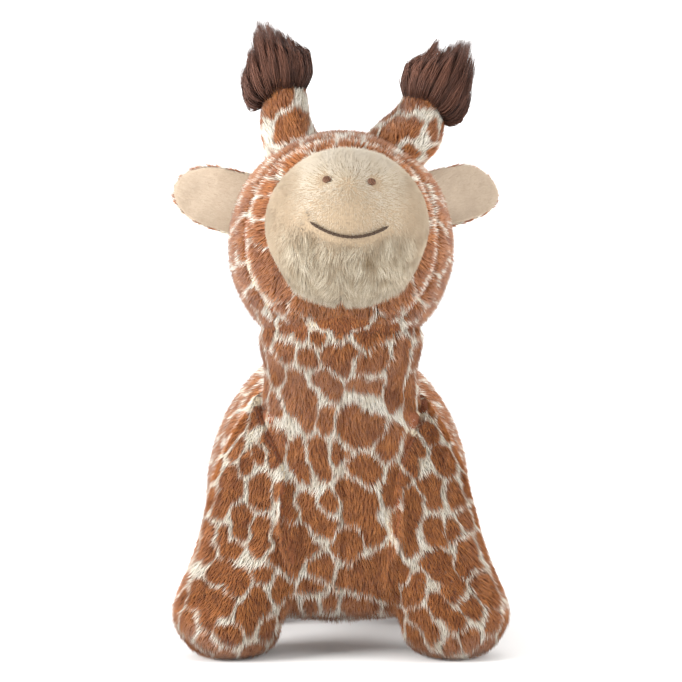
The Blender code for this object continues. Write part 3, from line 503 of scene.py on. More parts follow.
# %% Roots of the printed pile
DENSITY = 1.0
PER_MM2 = {
    "torso_cover": 1.1, "neck_and_chest": 1.62, "front_leg_left": 1.56, "front_leg_right": 1.56,
    "hind_leg_left": 1.2, "hind_leg_right": 1.2,
}
HEAD_SEAM_Y = HEAD_FRONT_Y + 0.235 * HEAD_LENGTH + SHIFT[1]
EYE_CLEAR, PILE_LEANS = 5.6 * MM, MM * np.array([0, 3.5, -1.2])
UNDER_HEAD_Z, NECK_TOP_Z = 0.172, 0.185
roots = {}
for name, form in BODY.items():
    others = [other for other, _ in neighbours(name)]
    place, out = outside(scattered(form, PER_MM2[name] * DENSITY), *others, margin=5.8 * MM)
    roots[name] = filled(place, out, neighbours(name))[:2]
place, out = outside(scattered(neck_ball, 1.4 * DENSITY), chest, torso)
shown = place[:, 2] < NECK_TOP_Z
roots["neck_ball"] = (place[shown], out[shown])
place, out = outside(scattered(head, 1.68 * DENSITY), snout, neck_ball)
for name in ("eye_left", "eye_right"):
    centre = np.mean(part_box(name), axis=0)
    apart = [np.linalg.norm(place + lean - centre, axis=1) for lean in (0, PILE_LEANS)]
    clear = np.minimum(*apart) > EYE_CLEAR
    place, out = place[clear], out[clear]
ahead = place[:, 1] < HEAD_SEAM_Y
roots["face_cover"] = (place[ahead], out[ahead])
roots["head_back_cover"] = (place[~ahead], out[~ahead])
for name, form in horns.items():
    roots[f"horn_{name}"] = outside(scattered(form, 2.2 * DENSITY), head)
    roots[f"ear_back_{name}"] = scattered(ear_backs[name], 1.9 * DENSITY, turn_span=BACK_SIDE)
roots["tail"] = outside(scattered(tail, 1.2 * DENSITY), torso)
print("printed pile:", sum(len(place) for place, _ in roots.values()), "roots")

# %% [markdown]
# ## The print
# A giraffe's coat is brown patches with pale lines between them. The print on the plush
# follows the same rule as cracked mud: each point belongs to its nearest patch, and the
# pale line runs where two patches are equally near. On the front, the middles of the
# patches stand where a ruler on the picture found them, in millimetres across and up
# from the picture's middle. A long patch has several. Broad pale areas, where several lines
# meet, have middles too. The rest of the toy gets patches of the same size at random.

# %% Middles of the patches on the front
FRONT_PATCHES = (
    ((41, 126), (34, 126)), ((-32, 128), (-39, 123)), ((-22, 118), (-30, 113)),
    ((39, 115), (30, 116), (26, 110)), ((50, 110),), ((-8, 106),), ((-17, 106),),
    ((9, 106), (1, 105)), ((18, 104), (26, 100)), ((-38, 92),), ((42, 90), (35, 95)),
    ((49, 88),), ((-43, 83),), ((50, 71), (46, 79)), ((-45, 71),), ((-56, 49), (-54, 59)),
    ((-45, 58),), ((56, 45), (47, 40), (49, 50), (46, 32), (54, 57)), ((-55, 32),),
    ((-37, 25), (-49, 42), (-46, 32), (-39, 37)), ((48, 24),), ((34, 25), (27, 20)),
    ((-37, 13),), ((41, 14),), ((-12, 18), (-9, 10), (2, 7), (12, 11), (-18, 14)),
    ((14, 2), (22, 5), (30, 7)), ((-31, 7), (-24, 6)), ((-14, 0),), ((-20, -10),),
    ((-31, -6),), ((25, -9), (20, -15), (13, -16)), ((5, -7), (-8, -7), (3, -16)),
    ((-37, -16),), ((-48, -26),), ((-12, -23), (-5, -27)), ((19, -24), (9, -24)),
    ((32, -14), (31, -32), (31, -23), (34, -4)), ((48, -30),), ((-38, -36),), ((-45, -38),),
    ((40, -39), (40, -26)), ((-7, -43),), ((47, -46),),
    ((-28, -29), (-24, -22), (-25, -37), (-20, -31), (-18, -40)),
    ((21, -45), (1, -45), (15, -50), (7, -52), (10, -43)), ((30, -49), (27, -57)),
    ((-61, -51), (-55, -41)), ((-40, -50), (-36, -58)), ((-59, -57),), ((-46, -59),),
    ((-2, -62),), ((38, -64), (41, -54)), ((56, -62),), ((-52, -62),), ((17, -69), (9, -67)),
    ((-12, -68), (-14, -60)), ((-21, -70), (-26, -61)), ((-62, -69), (-59, -78), (-66, -87)),
    ((60, -80),), ((-46, -75), (-44, -82)), ((29, -70), (26, -81)), ((51, -82), (50, -75)),
    ((-7, -86),), ((-30, -80), (-27, -89)), ((-19, -84), (-16, -91), (-11, -96)),
    ((-55, -98), (-54, -90)), ((3, -81), (7, -90), (14, -86), (18, -100)), ((67, -93),),
    ((61, -97),), ((50, -103), (51, -95)), ((-63, -101), (-58, -107)),
    ((-43, -107), (-43, -96)), ((38, -82), (38, -108), (33, -96), (38, -89)), ((4, -107),),
    ((-23, -102), (-34, -112), (-25, -117), (-17, -107), (-33, -98)),
    ((69, -105), (69, -114)), ((-72, -99), (-74, -110)),
    ((58, -129), (43, -113), (51, -112), (49, -119)), ((-40, -120),), ((-10, -122),),
    ((-53, -125), (-64, -118)), ((28, -121), (23, -114), (12, -126), (24, -133), (4, -128)),
    ((77, -125), (79, -132)), ((40, -125), (36, -133)), ((-30, -129),), ((-15, -130),),
    ((71, -138),), ((-16, -140),), ((-6, -140),), ((60, -146), (49, -136)),
    ((15, -143), (4, -141)), ((-43, -133), (-49, -142), (-44, -148), (-40, -141)),
    ((-25, -141),), ((27, -144),), ((-82, -149),), ((83, -146),), ((47, -155), (39, -144)),
    ((-37, -152),), ((68, -157),),
    ((-72, -143), (-60, -155), (-68, -135), (-61, -138), (-77, -131)), ((56, -160),),
    ((-73, -160),),
)
PALE_AREAS = (
    (-40, 112), (-19, 128), (45, 120), (46, 106), (-51, -34), (-45, -46), (-37, -44), (-30, -43),
    (-35, -69), (-35, -86), (-20, -77), (-13, -79), (2, -57), (2, -71), (5, -31), (14, -35),
    (24, -39), (33, -42), (46, -66), (22, -94), (-76, -115), (-50, -111), (-42, -114), (46, -126),
    (-62, -144),
)


def nearest_in_view(across, up, candidates, out):
    """The candidate closest to the camera among those near a place in the picture."""
    u, v, depth = in_picture(candidates)
    off = np.hypot(u - across * MM, v - up * MM)
    facing = ((candidates - CAMERA_AT) * out).sum(axis=1) < 0
    near = facing & (off < max(2.0 * MM, off[facing].min() + 0.5 * MM))
    return candidates[near][depth[near].argmin()]


all_place = np.concatenate([place for place, _ in roots.values()])
all_out = np.concatenate([out for _, out in roots.values()])
seeds, owner = [], []
measured = [*FRONT_PATCHES, *((area,) for area in PALE_AREAS)]
for number, patch in enumerate(measured):
    for across, up in patch:
        seeds.append(nearest_in_view(across, up, all_place, all_out))
        owner.append(number)
PALE = np.arange(len(FRONT_PATCHES), len(measured))
print(len(FRONT_PATCHES), "patches and", len(PALE), "pale areas from", len(seeds), "middles")

# %% Random patches on the sides, back and underside
PATCH_SPACING, EAR_SPACING = 14.0 * MM, 8.0 * MM
EAR_REACH, EAR_FRONT_Y, SAMPLES = 0.036, -0.045, 30000
sample = all_place[:: max(1, len(all_place) // SAMPLES)]
free = np.full(len(sample), np.inf)
for seed in seeds:
    free = np.minimum(free, np.linalg.norm(sample - seed, axis=1))
number = PALE[-1] + 1
to_ear = np.minimum(*[np.linalg.norm(sample - leaf.root, axis=1) for leaf in ear_backs.values()])
on_ear = (to_ear < EAR_REACH) & (sample[:, 1] > EAR_FRONT_Y)
spacing = np.where(on_ear, EAR_SPACING, PATCH_SPACING)
while (free > spacing).any():
    pick = sample[RNG.choice(np.flatnonzero(free > spacing))]
    seeds.append(pick)
    owner.append(number)
    free = np.minimum(free, np.linalg.norm(sample - pick, axis=1))
    number += 1
SEEDS, OWNER = np.array(seeds), np.array(owner)
STARTS = np.flatnonzero(np.diff(OWNER, prepend=-1))
PATCH_TONE = np.random.default_rng(3).random(number)
LINE_HALF_MM, PALE_BEHIND_MM, CORNER_PER_MM, AT_ONCE = 0.62, 4.0, 1.1, 8000
print(number, "patches in all")


def print_edge(points, widen=0.0, ring=False):
    """Millimetres inside a patch (positive) or inside a pale line (negative), and a patch tone.

    Half the difference between the distances to the second nearest and the nearest patch,
    less the line's half width. The third nearest rounds the corners off. On the head, the
    cut pile also shows pale along the ring seam.
    """
    bent = points + 0.7 * MM * wavy(points, 11 * MM, 1)
    edge, tone = np.empty(len(points)), np.empty(len(points))
    for first in range(0, len(points), AT_ONCE):
        part = bent[first : first + AT_ONCE]
        squares = (part**2).sum(1)[:, None] + (SEEDS**2).sum(1) - 2 * part @ SEEDS.T
        apart = np.sqrt(np.maximum(squares, 0))
        apart = np.minimum.reduceat(apart, STARTS, axis=1) / MM
        apart[:, PALE] += PALE_BEHIND_MM
        own = apart.argmin(axis=1)
        three = np.sort(np.partition(apart, 3, axis=1)[:, :3], axis=1)
        beyond = (three[:, 1:] - three[:, :1]) / 2
        depth = -np.log(np.exp(-CORNER_PER_MM * beyond).sum(axis=1)) / CORNER_PER_MM
        edge[first : first + AT_ONCE] = np.where(np.isin(own, PALE), -np.abs(depth), depth)
        tone[first : first + AT_ONCE] = PATCH_TONE[own]
    edge -= LINE_HALF_MM + widen + 0.45 * waves(points, 16 * MM, 5)
    if ring:
        seam = np.abs(points[:, 1] - HEAD_SEAM_Y) / MM - 1.3 + 0.6 * waves(points, 9 * MM, 6)
        edge = np.minimum(edge, seam)
    return edge, tone


# %% [markdown]
# ## Colours and nodes
# Colours are the hex values that a picture program shows. One function turns them to the
# linear values that shaders use, one fills a node's sockets, and one adds a node.


# %% Helpers for materials
def paint(code):
    """Linear colour of an sRGB hex value: the usual power curve with its straight foot."""
    parts = [int(code[k : k + 2], 16) / 255 for k in (1, 3, 5)]
    line = [p / 12.92 if p <= 0.04045 else ((p + 0.055) / 1.055) ** 2.4 for p in parts]
    return (*line, 1.0)


def fill(tree, node, sockets):
    """Fills a node's sockets with values, or with links from sockets or whole nodes."""
    for key, value in dict(sockets).items():
        if isinstance(value, bpy.types.Node):
            value = value.outputs[2 if value.bl_idname == "ShaderNodeMix" else 0]
        if isinstance(value, bpy.types.NodeSocket):
            tree.links.new(value, node.inputs[key])
        else:
            node.inputs[key].default_value = value


def add(tree, kind, sockets=(), **settings):
    """Adds a node, applies its settings, and fills its sockets."""
    made = tree.nodes.new(kind)
    for key, value in settings.items():
        setattr(made, key, value)
    fill(tree, made, sockets)
    return made


def new_material(name):
    material = bpy.data.materials.new(name)
    material.use_nodes = True
    tree = material.node_tree
    return material, tree, tree.nodes["Principled BSDF"]


COLOUR = {"data_type": "RGBA"}
TIMES = {"data_type": "RGBA", "blend_type": "MULTIPLY"}
POLYESTER_IOR = 1.54

# %% [markdown]
# Plush pile is matt polyester fibre. Each fibre carries one colour from the print, darker
# at its root, where little light reaches, and paler at its tip. Fibres in the same tuft
# share a tone, which is what makes fur look combed in locks.


# %% Printed plush pile
def pile_material(name, patch, line, root_shade):
    """Brown patches and pale lines by the edge attribute, with painted shade darkening the fibres'
    roots.
    """
    material, tree, shader = new_material(name)
    edge, tone, tip = (
        add(tree, "ShaderNodeAttribute", attribute_name=key).outputs["Fac"]
        for key in ("edge", "tone", "tip")
    )
    brown, pale = (
        add(tree, "ShaderNodeMix", {0: tone, 6: paint(dark), 7: paint(light)}, **COLOUR)
        for dark, light in (patch, line)
    )
    inside = add(tree, "ShaderNodeMapRange", {0: edge, 1: -0.45, 2: 0.55})
    coat = add(tree, "ShaderNodeMix", {0: inside, 6: pale, 7: brown}, **COLOUR)
    shade = add(tree, "ShaderNodeMapRange", {0: tip, 1: 0.0, 2: 0.75, 3: root_shade, 4: 1.0})
    dark = add(tree, "ShaderNodeMix", {0: 1.0, 6: coat, 7: shade}, **TIMES)
    fill(tree, shader, {
        "Base Color": dark, "Roughness": 0.62, "IOR": POLYESTER_IOR,
        "Specular IOR Level": 0.25, "Sheen Weight": 0.12, "Sheen Roughness": 0.5,
    })
    return material


PRINTED_PILE = pile_material(
    "printed_polyester_pile", ("#7c3f1c", "#cc8345"), ("#e6dac4", "#fffaf0"), 0.58
)


# %% Knitted backing cloth
def cloth_material(name, brown, pale):
    """The knitted ground of the plush, seen between fibres: 0.9 mm ribs of loops."""
    material, tree, shader = new_material(name)
    edge = add(tree, "ShaderNodeAttribute", attribute_name="edge").outputs["Fac"]
    where = add(tree, "ShaderNodeTexCoord").outputs["Object"]
    inside = add(tree, "ShaderNodeMapRange", {0: edge, 1: -0.4, 2: 0.4})
    coat = add(tree, "ShaderNodeMix", {0: inside, 6: paint(pale), 7: paint(brown)}, **COLOUR)
    mottle = add(tree, "ShaderNodeTexNoise", {"Vector": where, "Scale": 900.0, "Detail": 3.0})
    shade = add(tree, "ShaderNodeMapRange", {0: mottle, 1: 0.3, 2: 0.7, 3: 0.75, 4: 1.05})
    mixed = add(tree, "ShaderNodeMix", {0: 1.0, 6: coat, 7: shade}, **TIMES)
    ribs = add(tree, "ShaderNodeTexWave", {"Vector": where, "Scale": 350.0, "Distortion": 1.2})
    height = {"Height": ribs.outputs[1], "Strength": 0.3, "Distance": 0.3 * MM}
    bump = add(tree, "ShaderNodeBump", height)
    fill(tree, shader, {"Base Color": mixed, "Normal": bump, "Roughness": 0.9})
    return material


# These backings are darker than their pile's colours: painted shade between the fibres; the printed
# one keeps the print's brown and pale.
SHADED_PRINTED_CLOTH = cloth_material("printed_knit_backing_painted_shade", "#7d4526", "#cfc0a6")
SHADED_CREAM_CLOTH = cloth_material("cream_knit_backing_painted_shade", "#a38e74", "#a38e74")
FILL = cloth_material("polyester_fibre_fill", "#ecebe6", "#ecebe6")
print("materials:", len(bpy.data.materials))

# %% [markdown]
# ## From grids to pieces
# A cloth skin is a grid of points round a form. The grid's ends close in a single point,
# or, where the cover has an opening, the cloth turns back on its inner side.


# %% A closed mesh from a grid
def skin_mesh(name, grid, looped=False):
    """Quads between neighbouring rows and columns, closed round and at both ends.

    A looped grid also joins its last row to its first, as on a ring. The mesh comes with
    its points.
    """
    rows, columns = grid.shape[:2]
    r, c = np.meshgrid(np.arange(rows if looped else rows - 1), np.arange(columns), indexing="ij")
    r, c = r.ravel(), c.ravel()
    corner_r = np.stack([r, r + 1, r + 1, r], axis=1)
    corner_c = np.stack([c, c, c + 1, c + 1], axis=1)
    index = (corner_r % rows) * columns + corner_c % columns
    uv = np.stack([corner_c / columns, corner_r / rows], axis=-1)
    if not looped:
        last = (rows - 1) * columns
        index = np.where(index < columns, 0, index)
        index = np.where(index >= last, last, index)
    used, index = np.unique(index, return_inverse=True)
    faces, corners = [], []
    for face, place in zip(index.reshape(-1, 4).tolist(), uv.tolist()):
        keep = [k for k in range(4) if face[k] not in face[:k]]
        faces.append([face[k] for k in keep])
        corners.extend(place[k] for k in keep)
    points = grid.reshape(-1, 3)[used]
    mesh = bpy.data.meshes.new(name)
    mesh.from_pydata(points, [], faces)
    flat_uv = np.array(corners, np.float32).ravel()
    mesh.uv_layers.new(name="OFBake").data.foreach_set("uv", flat_uv)
    mesh.shade_smooth()
    return mesh, points


ALL_PALE = -9.0


def mark(mesh, **values):
    """Named numbers for the materials, given for each vertex, each strand or the whole mesh."""
    for name, numbers in values.items():
        numbers = np.atleast_1d(np.asarray(numbers, np.float32))
        layer = mesh.attributes.new(name, "FLOAT", "POINT")
        layer.data.foreach_set("value", np.repeat(numbers, len(mesh.vertices) // len(numbers)))


def piece(name, mesh, material, body, stands_for=()):
    """An object from a mesh, with its finish, riding on its body."""
    made = bpy.data.objects.new(name, mesh)
    bpy.context.scene.collection.objects.link(made)
    mesh.materials.append(material)
    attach(made, body)
    if stands_for:
        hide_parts(*stands_for)
    return made


def plain_skin(name, grid, material, body, stands_for=()):
    """A closed piece of one colour from a grid."""
    mesh, _ = skin_mesh(name, grid)
    mark(mesh, edge=ALL_PALE)
    return piece(name, mesh, material, body, stands_for)


def grid_of(s_rows, columns):
    """The s of each row and the turn of each column, as two grids."""
    return np.meshgrid(s_rows, np.linspace(0, 2 * np.pi, columns, endpoint=False), indexing="ij")


def skin_grid(surface, depth, rows, columns, s_span=None):
    """Points of a surface moved in by a depth, on an even grid."""
    s, turn = grid_of(np.linspace(*(s_span or surface.ends), rows), columns)
    return surface.point(s, turn) - depth * surface.out(s, turn)


# %% [markdown]
# Where covers meet, the seam pulls the cloth in and the pile parts over it. The same
# function tells the skins and the roots how deep they are pressed at each place.

# %% Sewn seams that press the cloth in
SKIN_DEPTH = 2.6 * MM
MOUTH_X, MOUTH_Z, MOUTH_HALF = MUZZLE_X + 0.0011, MUZZLE_Z + 0.0011, 0.0196
CHEST_SEAM_X = 0.8 * MM


def pressed(place, on_head):
    """Depth of the seams' hollows: a bell curve of the distance to each seam."""
    if on_head:
        return 2.2 * MM * np.exp(-(((place[..., 1] - HEAD_SEAM_Y) / (2.2 * MM)) ** 2))
    bell = np.exp(-(((place[..., 0] - CHEST_SEAM_X) / (1.6 * MM)) ** 2))
    return np.where(place[..., 1] < -0.02, 1.5 * MM * bell, 0)


def socketed(grid):
    """Raises points inside the neck's socket to its roof: z = centre + root(r^2 - d^2)."""
    centre = PIVOT + SHIFT
    flat = np.linalg.norm(grid[..., :2] - centre[:2], axis=-1)
    inside = np.linalg.norm(grid - centre, axis=-1) < NECK_SOCKET
    roof = centre[2] + np.sqrt(np.maximum(NECK_SOCKET**2 - flat**2, 0))
    raised = grid.copy()
    raised[inside, 2] = roof[inside]
    return raised


def printed_skin(name, grid, body, stands_for, on_head=False, looped=False, widen=0.0):
    """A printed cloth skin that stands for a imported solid."""
    mesh, points = skin_mesh(name, socketed(grid) if on_head else grid, looped)
    mark(mesh, edge=print_edge(points, widen, on_head)[0])
    return piece(name, mesh, SHADED_PRINTED_CLOTH, body, stands_for)


# %% Skins of the body
def body_grid(surface, others):
    """A skin grid with filled valleys and the seams' hollows pressed into it.

    Where it is hidden inside another cover it sinks 4 mm deeper.
    """
    s, turn = grid_of(np.linspace(*surface.ends, 80), 120)
    place, out, shown = filled(surface.point(s, turn), surface.out(s, turn), others)
    depth = SKIN_DEPTH + pressed(place, False) + 4 * MM * (1 - shown)
    grid = place - depth[..., None] * out
    grid[..., 2] = np.maximum(grid[..., 2], 0.4 * MM)
    return grid


for name, form in BODY.items():
    grid = body_grid(form, neighbours(name))
    printed_skin(f"{name.replace('_cover', '')}_skin", grid, "body", [name])
printed_skin("neck_ball_skin", skin_grid(neck_ball, SKIN_DEPTH, 40, 80), "body", ())
grid = skin_grid(torso, 6.5 * MM, 40, 60)
plain_skin("body_fill", grid, FILL, "body", ["body_stuffing"])
print("body skins done")


# %% Skins of the head
def shell_grid(s_rows, to_pole):
    """Rows along the outer side of a head cover and back along its inner side, 1 mm deeper."""
    s, turn = grid_of(s_rows, 150)
    place, out = head.point(s, turn), head.out(s, turn)
    depth = SKIN_DEPTH + pressed(place, True)[..., None]
    outer, inner = place - depth * out, place - (depth + 1.0 * MM) * out
    return np.concatenate([outer[::-1], inner] if to_pole else [outer, inner[::-1]])


grid = shell_grid(np.linspace(0.35, 2.0, 34), False)
printed_skin("face_skin", grid, "head", ["face_cover"], True, True)
grid = shell_grid(np.linspace(2.0, head.ends[1], 60), True)[:, ::-1]
printed_skin("head_back_skin", grid, "head", ["head_back_cover"], True)
grid = socketed(skin_grid(head, 6.5 * MM, 40, 60))
plain_skin("head_fill", grid, FILL, "head", ["head_stuffing"])
print("head skins done")

# %% Skins of the horns and tail
for name, form in horns.items():
    grid = skin_grid(form, 2.0 * MM, 40, 48)
    printed_skin(f"horn_{name}_skin", grid, f"horn_{name}", [f"horn_{name}"], widen=0.35)
printed_skin("tail_skin", skin_grid(tail, 1.5 * MM, 30, 24), "tail", ["tail"])

# %% [markdown]
# ## The pile
# Each fibre is a thin wedge: a small triangle at the root and three sides that meet at
# the tip. Fibres lean along the nap, the way the cloth was brushed, and wander from it in
# gentle waves. Tips in the same lock are drawn together, because real pile clings in
# little locks.

# %% Laying a pile of fibres
CELL_KEYS = np.array([73856093, 19349663, 83492791])


def laid_flat(way, out):
    """The part of a direction that lies across the outward line, one unit long."""
    return unit(way - (way * out).sum(axis=1, keepdims=True) * out)


def combed(place, out, nap, swirl_deg, seed):
    """The nap laid flat on the surface and turned by waves and chance about its outward line."""
    flat = laid_flat(nap, out)
    turn = waves(place, 17 * MM, seed) + 0.5 * RNG.normal(size=len(place))
    turn = (np.radians(swirl_deg) * turn)[:, None]
    return flat * np.cos(turn) + np.cross(out, flat) * np.sin(turn)


def lock_numbers(place, size, seed, tall):
    """A number for each lock: space cut in cells, some taller than wide, with wavy walls."""
    bent = place / np.array([1, 1, tall]) + 0.45 * size * wavy(place, 3.2 * size, seed)
    cells = np.floor(bent / size).astype(np.int64)
    return np.unique(cells @ CELL_KEYS, return_inverse=True)[1].ravel()


def mean_by(lock, values):
    count = np.bincount(lock)
    return np.stack([np.bincount(lock, column) / count for column in values.T], axis=1)[lock]


def repeated_mesh(name, points, faces, spots):
    """A mesh of many items, from the points of each, and the faces and UV spots of one.

    Each item has its own small square of the UV map.
    """
    count, size = points.shape[:2]
    index = (np.arange(count)[:, None, None] * size + faces).ravel()
    mesh = bpy.data.meshes.new(name)
    mesh.vertices.add(count * size)
    mesh.vertices.foreach_set("co", points.astype(np.float32).ravel())
    mesh.loops.add(index.size)
    mesh.loops.foreach_set("vertex_index", index.astype(np.int32))
    mesh.polygons.add(index.size // 3)
    mesh.polygons.foreach_set("loop_start", np.arange(0, index.size, 3, dtype=np.int32))
    mesh.update(calc_edges=True)
    mesh.shade_smooth()
    cells = math.ceil(math.sqrt(count))
    corner = stacked(np.arange(count) % cells, np.arange(count) // cells)
    uv = (corner[:, None] + spots[faces.ravel()]) / cells
    mesh.uv_layers.new(name="OFBake").data.foreach_set("uv", uv.astype(np.float32).ravel())
    return mesh


# %% Fibres as wedges
WEDGE = np.array([(0, 1, 3), (1, 2, 3), (2, 0, 3), (0, 2, 1)])
WEDGE_SPOTS = np.array([(0.15, 0.15), (0.85, 0.15), (0.5, 0.15), (0.5, 0.85)])


def strand_mesh(name, root, tip, wide, out, soft):
    """Wedges: two root corners sideways, one below, and a tip.

    The shading normals of soft strands lean towards the cloth's outward line, because
    light passes through pale pile and falls on it as a soft whole.
    """
    way = unit(tip - root)
    side = laid_flat(unit(np.cross(way, out) + 0.35 * RNG.normal(size=way.shape)), way)
    up = np.cross(side, way)
    half = wide[:, None] / 2
    points = np.stack([root - side * half, root + side * half, root - up * half, tip], axis=1)
    points[..., 2] = np.maximum(points[..., 2], 0.3 * MM)
    mesh = repeated_mesh(name, points, WEDGE, WEDGE_SPOTS)
    if soft:
        normals = unit(out[:, None] + 0.45 * np.stack([-side, side, -up, way], axis=1))
        mesh.normals_split_custom_set_from_vertices(normals.reshape(-1, 3))
    return mesh


def lay_pile(name, roots, nap, length, lift_deg, body, slot="printed_pile", material=PRINTED_PILE,
             depth=SKIN_DEPTH, wide=0.49 * MM, swirl_deg=14.0, lock=3.0 * MM, cling=0.3, seed=20,
             printed=True, widen=0.0, tall=1.0, lock_share=0.3, tone_drop=0.0, mixed=0.2, **extra):
    """Fibres from roots: tip = root + length * (cos(lift) * nap + sin(lift) * out).

    The cling draws each tip towards where the mean fibre of its lock would end.
    """
    place, out = roots
    count = len(place)
    long = np.broadcast_to(length, count) * RNG.uniform(0.75, 1.2, count)
    lift = np.radians(np.broadcast_to(lift_deg, count) + 7 * RNG.normal(size=count))[:, None]
    way = combed(place, out, np.broadcast_to(nap, place.shape), swirl_deg, seed)
    root = place - np.broadcast_to(depth, count)[:, None] * out
    tip = root + long[:, None] * (np.cos(lift) * way + np.sin(lift) * out)
    locks = lock_numbers(place, lock, seed + 5, tall)
    middle = mean_by(locks, root)
    drawn = mean_by(locks, tip - root) + middle + 0.25 * (root - middle)
    tip += np.broadcast_to(cling, count)[:, None] * (drawn - tip)
    wide = wide * RNG.uniform(0.8, 1.25, count)
    mesh = strand_mesh(name, root, tip, wide, out, not printed)
    edge, patch_tone = ALL_PALE, 0.5
    if printed:
        edge, patch_tone = print_edge(place + 0.55 * (tip - root), widen, body == "head")
        edge = edge + mixed * RNG.normal(size=count)
    lock_tone = np.random.default_rng(seed).random(locks.max() + 1)[locks]
    tone = lock_share * lock_tone + 0.15 * patch_tone + (0.6 - lock_share) * RNG.random(count)
    tone = tone + 0.25 * (0.5 + 0.5 * waves(place, 9 * MM, seed + 9))
    tip_share = np.tile([0.0, 0, 0, 1], count)
    mark(mesh, edge=edge, tone=np.clip(tone - tone_drop, 0, 1), tip=tip_share, **extra)
    return piece(name, mesh, material, body)


# %% [markdown]
# The body's pile is about 6 mm long and combed down and backwards. Where two covers meet,
# it is the seam that shows, so the roots follow the same hollows as the skins.

# %% Pile of the body
place, out = roots["torso_cover"]
depth = SKIN_DEPTH + pressed(place, False)
for name, half in (("left", place[:, 0] < 0), ("right", place[:, 0] >= 0)):
    lay_pile(f"torso_pile_{name}", (place[half], out[half]), (0, 0.5, -1.0), 6.4 * MM, 20,
             "body", depth=depth[half])
place, _ = roots["neck_and_chest"]
lay_pile("chest_pile", roots["neck_and_chest"], stacked(4 * place[:, 0], 0, -1), 5.8 * MM, 19,
         "body", depth=SKIN_DEPTH + pressed(place, False), seed=31)
high = roots["neck_ball"][0][:, 2] > UNDER_HEAD_Z
lay_pile("neck_pile", roots["neck_ball"], (0, 0, -1.0), np.where(high, 3.0, 5.8) * MM,
         np.where(high, 8, 20), "body", seed=32)
for name, leg in legs.items():
    side = -1 if "left" in name else 1
    top = roots[name][0][:, 2] / leg.point(np.array([8.0]), np.array([0.0]))[0, 2]
    shoulder = np.clip((top - 0.6) / 0.3, 0, 1)
    nap = stacked(0.25 * side, (-0.15 if "front" in name else 0.2) - 0.9 * shoulder, -1)
    lay_pile(f"{name}_pile", roots[name], nap, (6.0 - shoulder) * MM, 20 - 4 * shoulder, "body",
             seed=40 + 3 * len(name) + side)

# %% Pile of the head, horns and tail
for name in ("face_cover", "head_back_cover"):
    place, out = roots[name]
    raised = 20 + 16 * np.clip(5 * np.abs(out[:, 2] + 0.25) - 3, 0, 1)
    lay_pile(name.replace("cover", "pile"), roots[name], (0, 1.0, -0.35), 5.2 * MM, raised,
             "head", depth=SKIN_DEPTH + pressed(place, True), seed=51 + len(name), widen=-0.3,
             mixed=0.3)
for name in horns:
    lay_pile(f"horn_{name}_pile", roots[f"horn_{name}"], horn_stand[name][0][:, 2], 5.0 * MM,
             20, f"horn_{name}", depth=2.0 * MM, seed=60, widen=0.35)
    lay_pile(f"ear_back_{name}_pile", roots[f"ear_back_{name}"], ear_backs[name].outward,
             4.4 * MM, 26, f"ear_{name}", depth=0.2 * MM, wide=0.5 * MM, seed=62, widen=0.9)
lay_pile("tail_pile", roots["tail"], (0, 0.2, -1.0), 4.5 * MM, 20, "tail", depth=1.5 * MM,
         wide=0.5 * MM, seed=64)

# %% [markdown]
# ## Ears
# The backs are printed plush and the linings are cream velour, a very short upright pile
# that looks like felt.

# %% Ear leaves and their velour
VELOUR = pile_material(
    "cream_velour_pile", ("#b5a08a", "#b5a08a"), ("#aa9680", "#c0ad98"), 0.9
)
# The velour's backing is its pile's cream darkened as at the roots: painted shade between the
# fibres.
SHADED_VELOUR_CLOTH = cloth_material("cream_velour_backing_painted_shade", "#ac977f", "#ac977f")
for name, lining in ear_linings.items():
    printed_skin(f"ear_back_{name}_skin", skin_grid(ear_backs[name], 0, 40, 64), f"ear_{name}",
                 [f"ear_back_{name}"], widen=0.9)
    plain_skin(f"ear_lining_{name}_skin", skin_grid(lining, 0, 44, 72), SHADED_VELOUR_CLOTH,
               f"ear_{name}", [f"ear_lining_{name}"])
    velour = scattered(lining, 9.0 * DENSITY, turn_span=FRONT_SIDE)
    lay_pile(f"ear_lining_{name}_pile", velour, lining.outward, 2.2 * MM, 26, f"ear_{name}",
             "ear_velour", VELOUR, depth=0.1 * MM, wide=0.32 * MM, swirl_deg=12.0,
             lock=1.7 * MM, cling=0.25, printed=False, seed=70)
print("ears done")

# %% [markdown]
# ## Muzzle and chin
# The muzzle is cream plush in three lengths: clipped short and standing on the nose,
# smooth on the cheeks, and left long on the chin, where it looks greyer because the
# shaded roots show. It is cut in two covers that meet under the mouth.

# %% Muzzle and chin skins
SPLIT_Z, BROW_Z, CHIN_Z = MUZZLE_Z - 0.014, MUZZLE_Z + 0.025, MUZZLE_Z - 0.024
CREAM_DEPTH, DEEPEST_CUT = 1.6 * MM, 0.985


def cut_rings(s):
    """The muzzle's rings at the skin's depth, and how high the split cuts each: -1 to 1."""
    centre, size = snout.ring(s)
    size = np.maximum(size - CREAM_DEPTH, 0)
    return centre, size, (SPLIT_Z - centre[:, 2]) / np.maximum(size[:, 2], 1e-6)


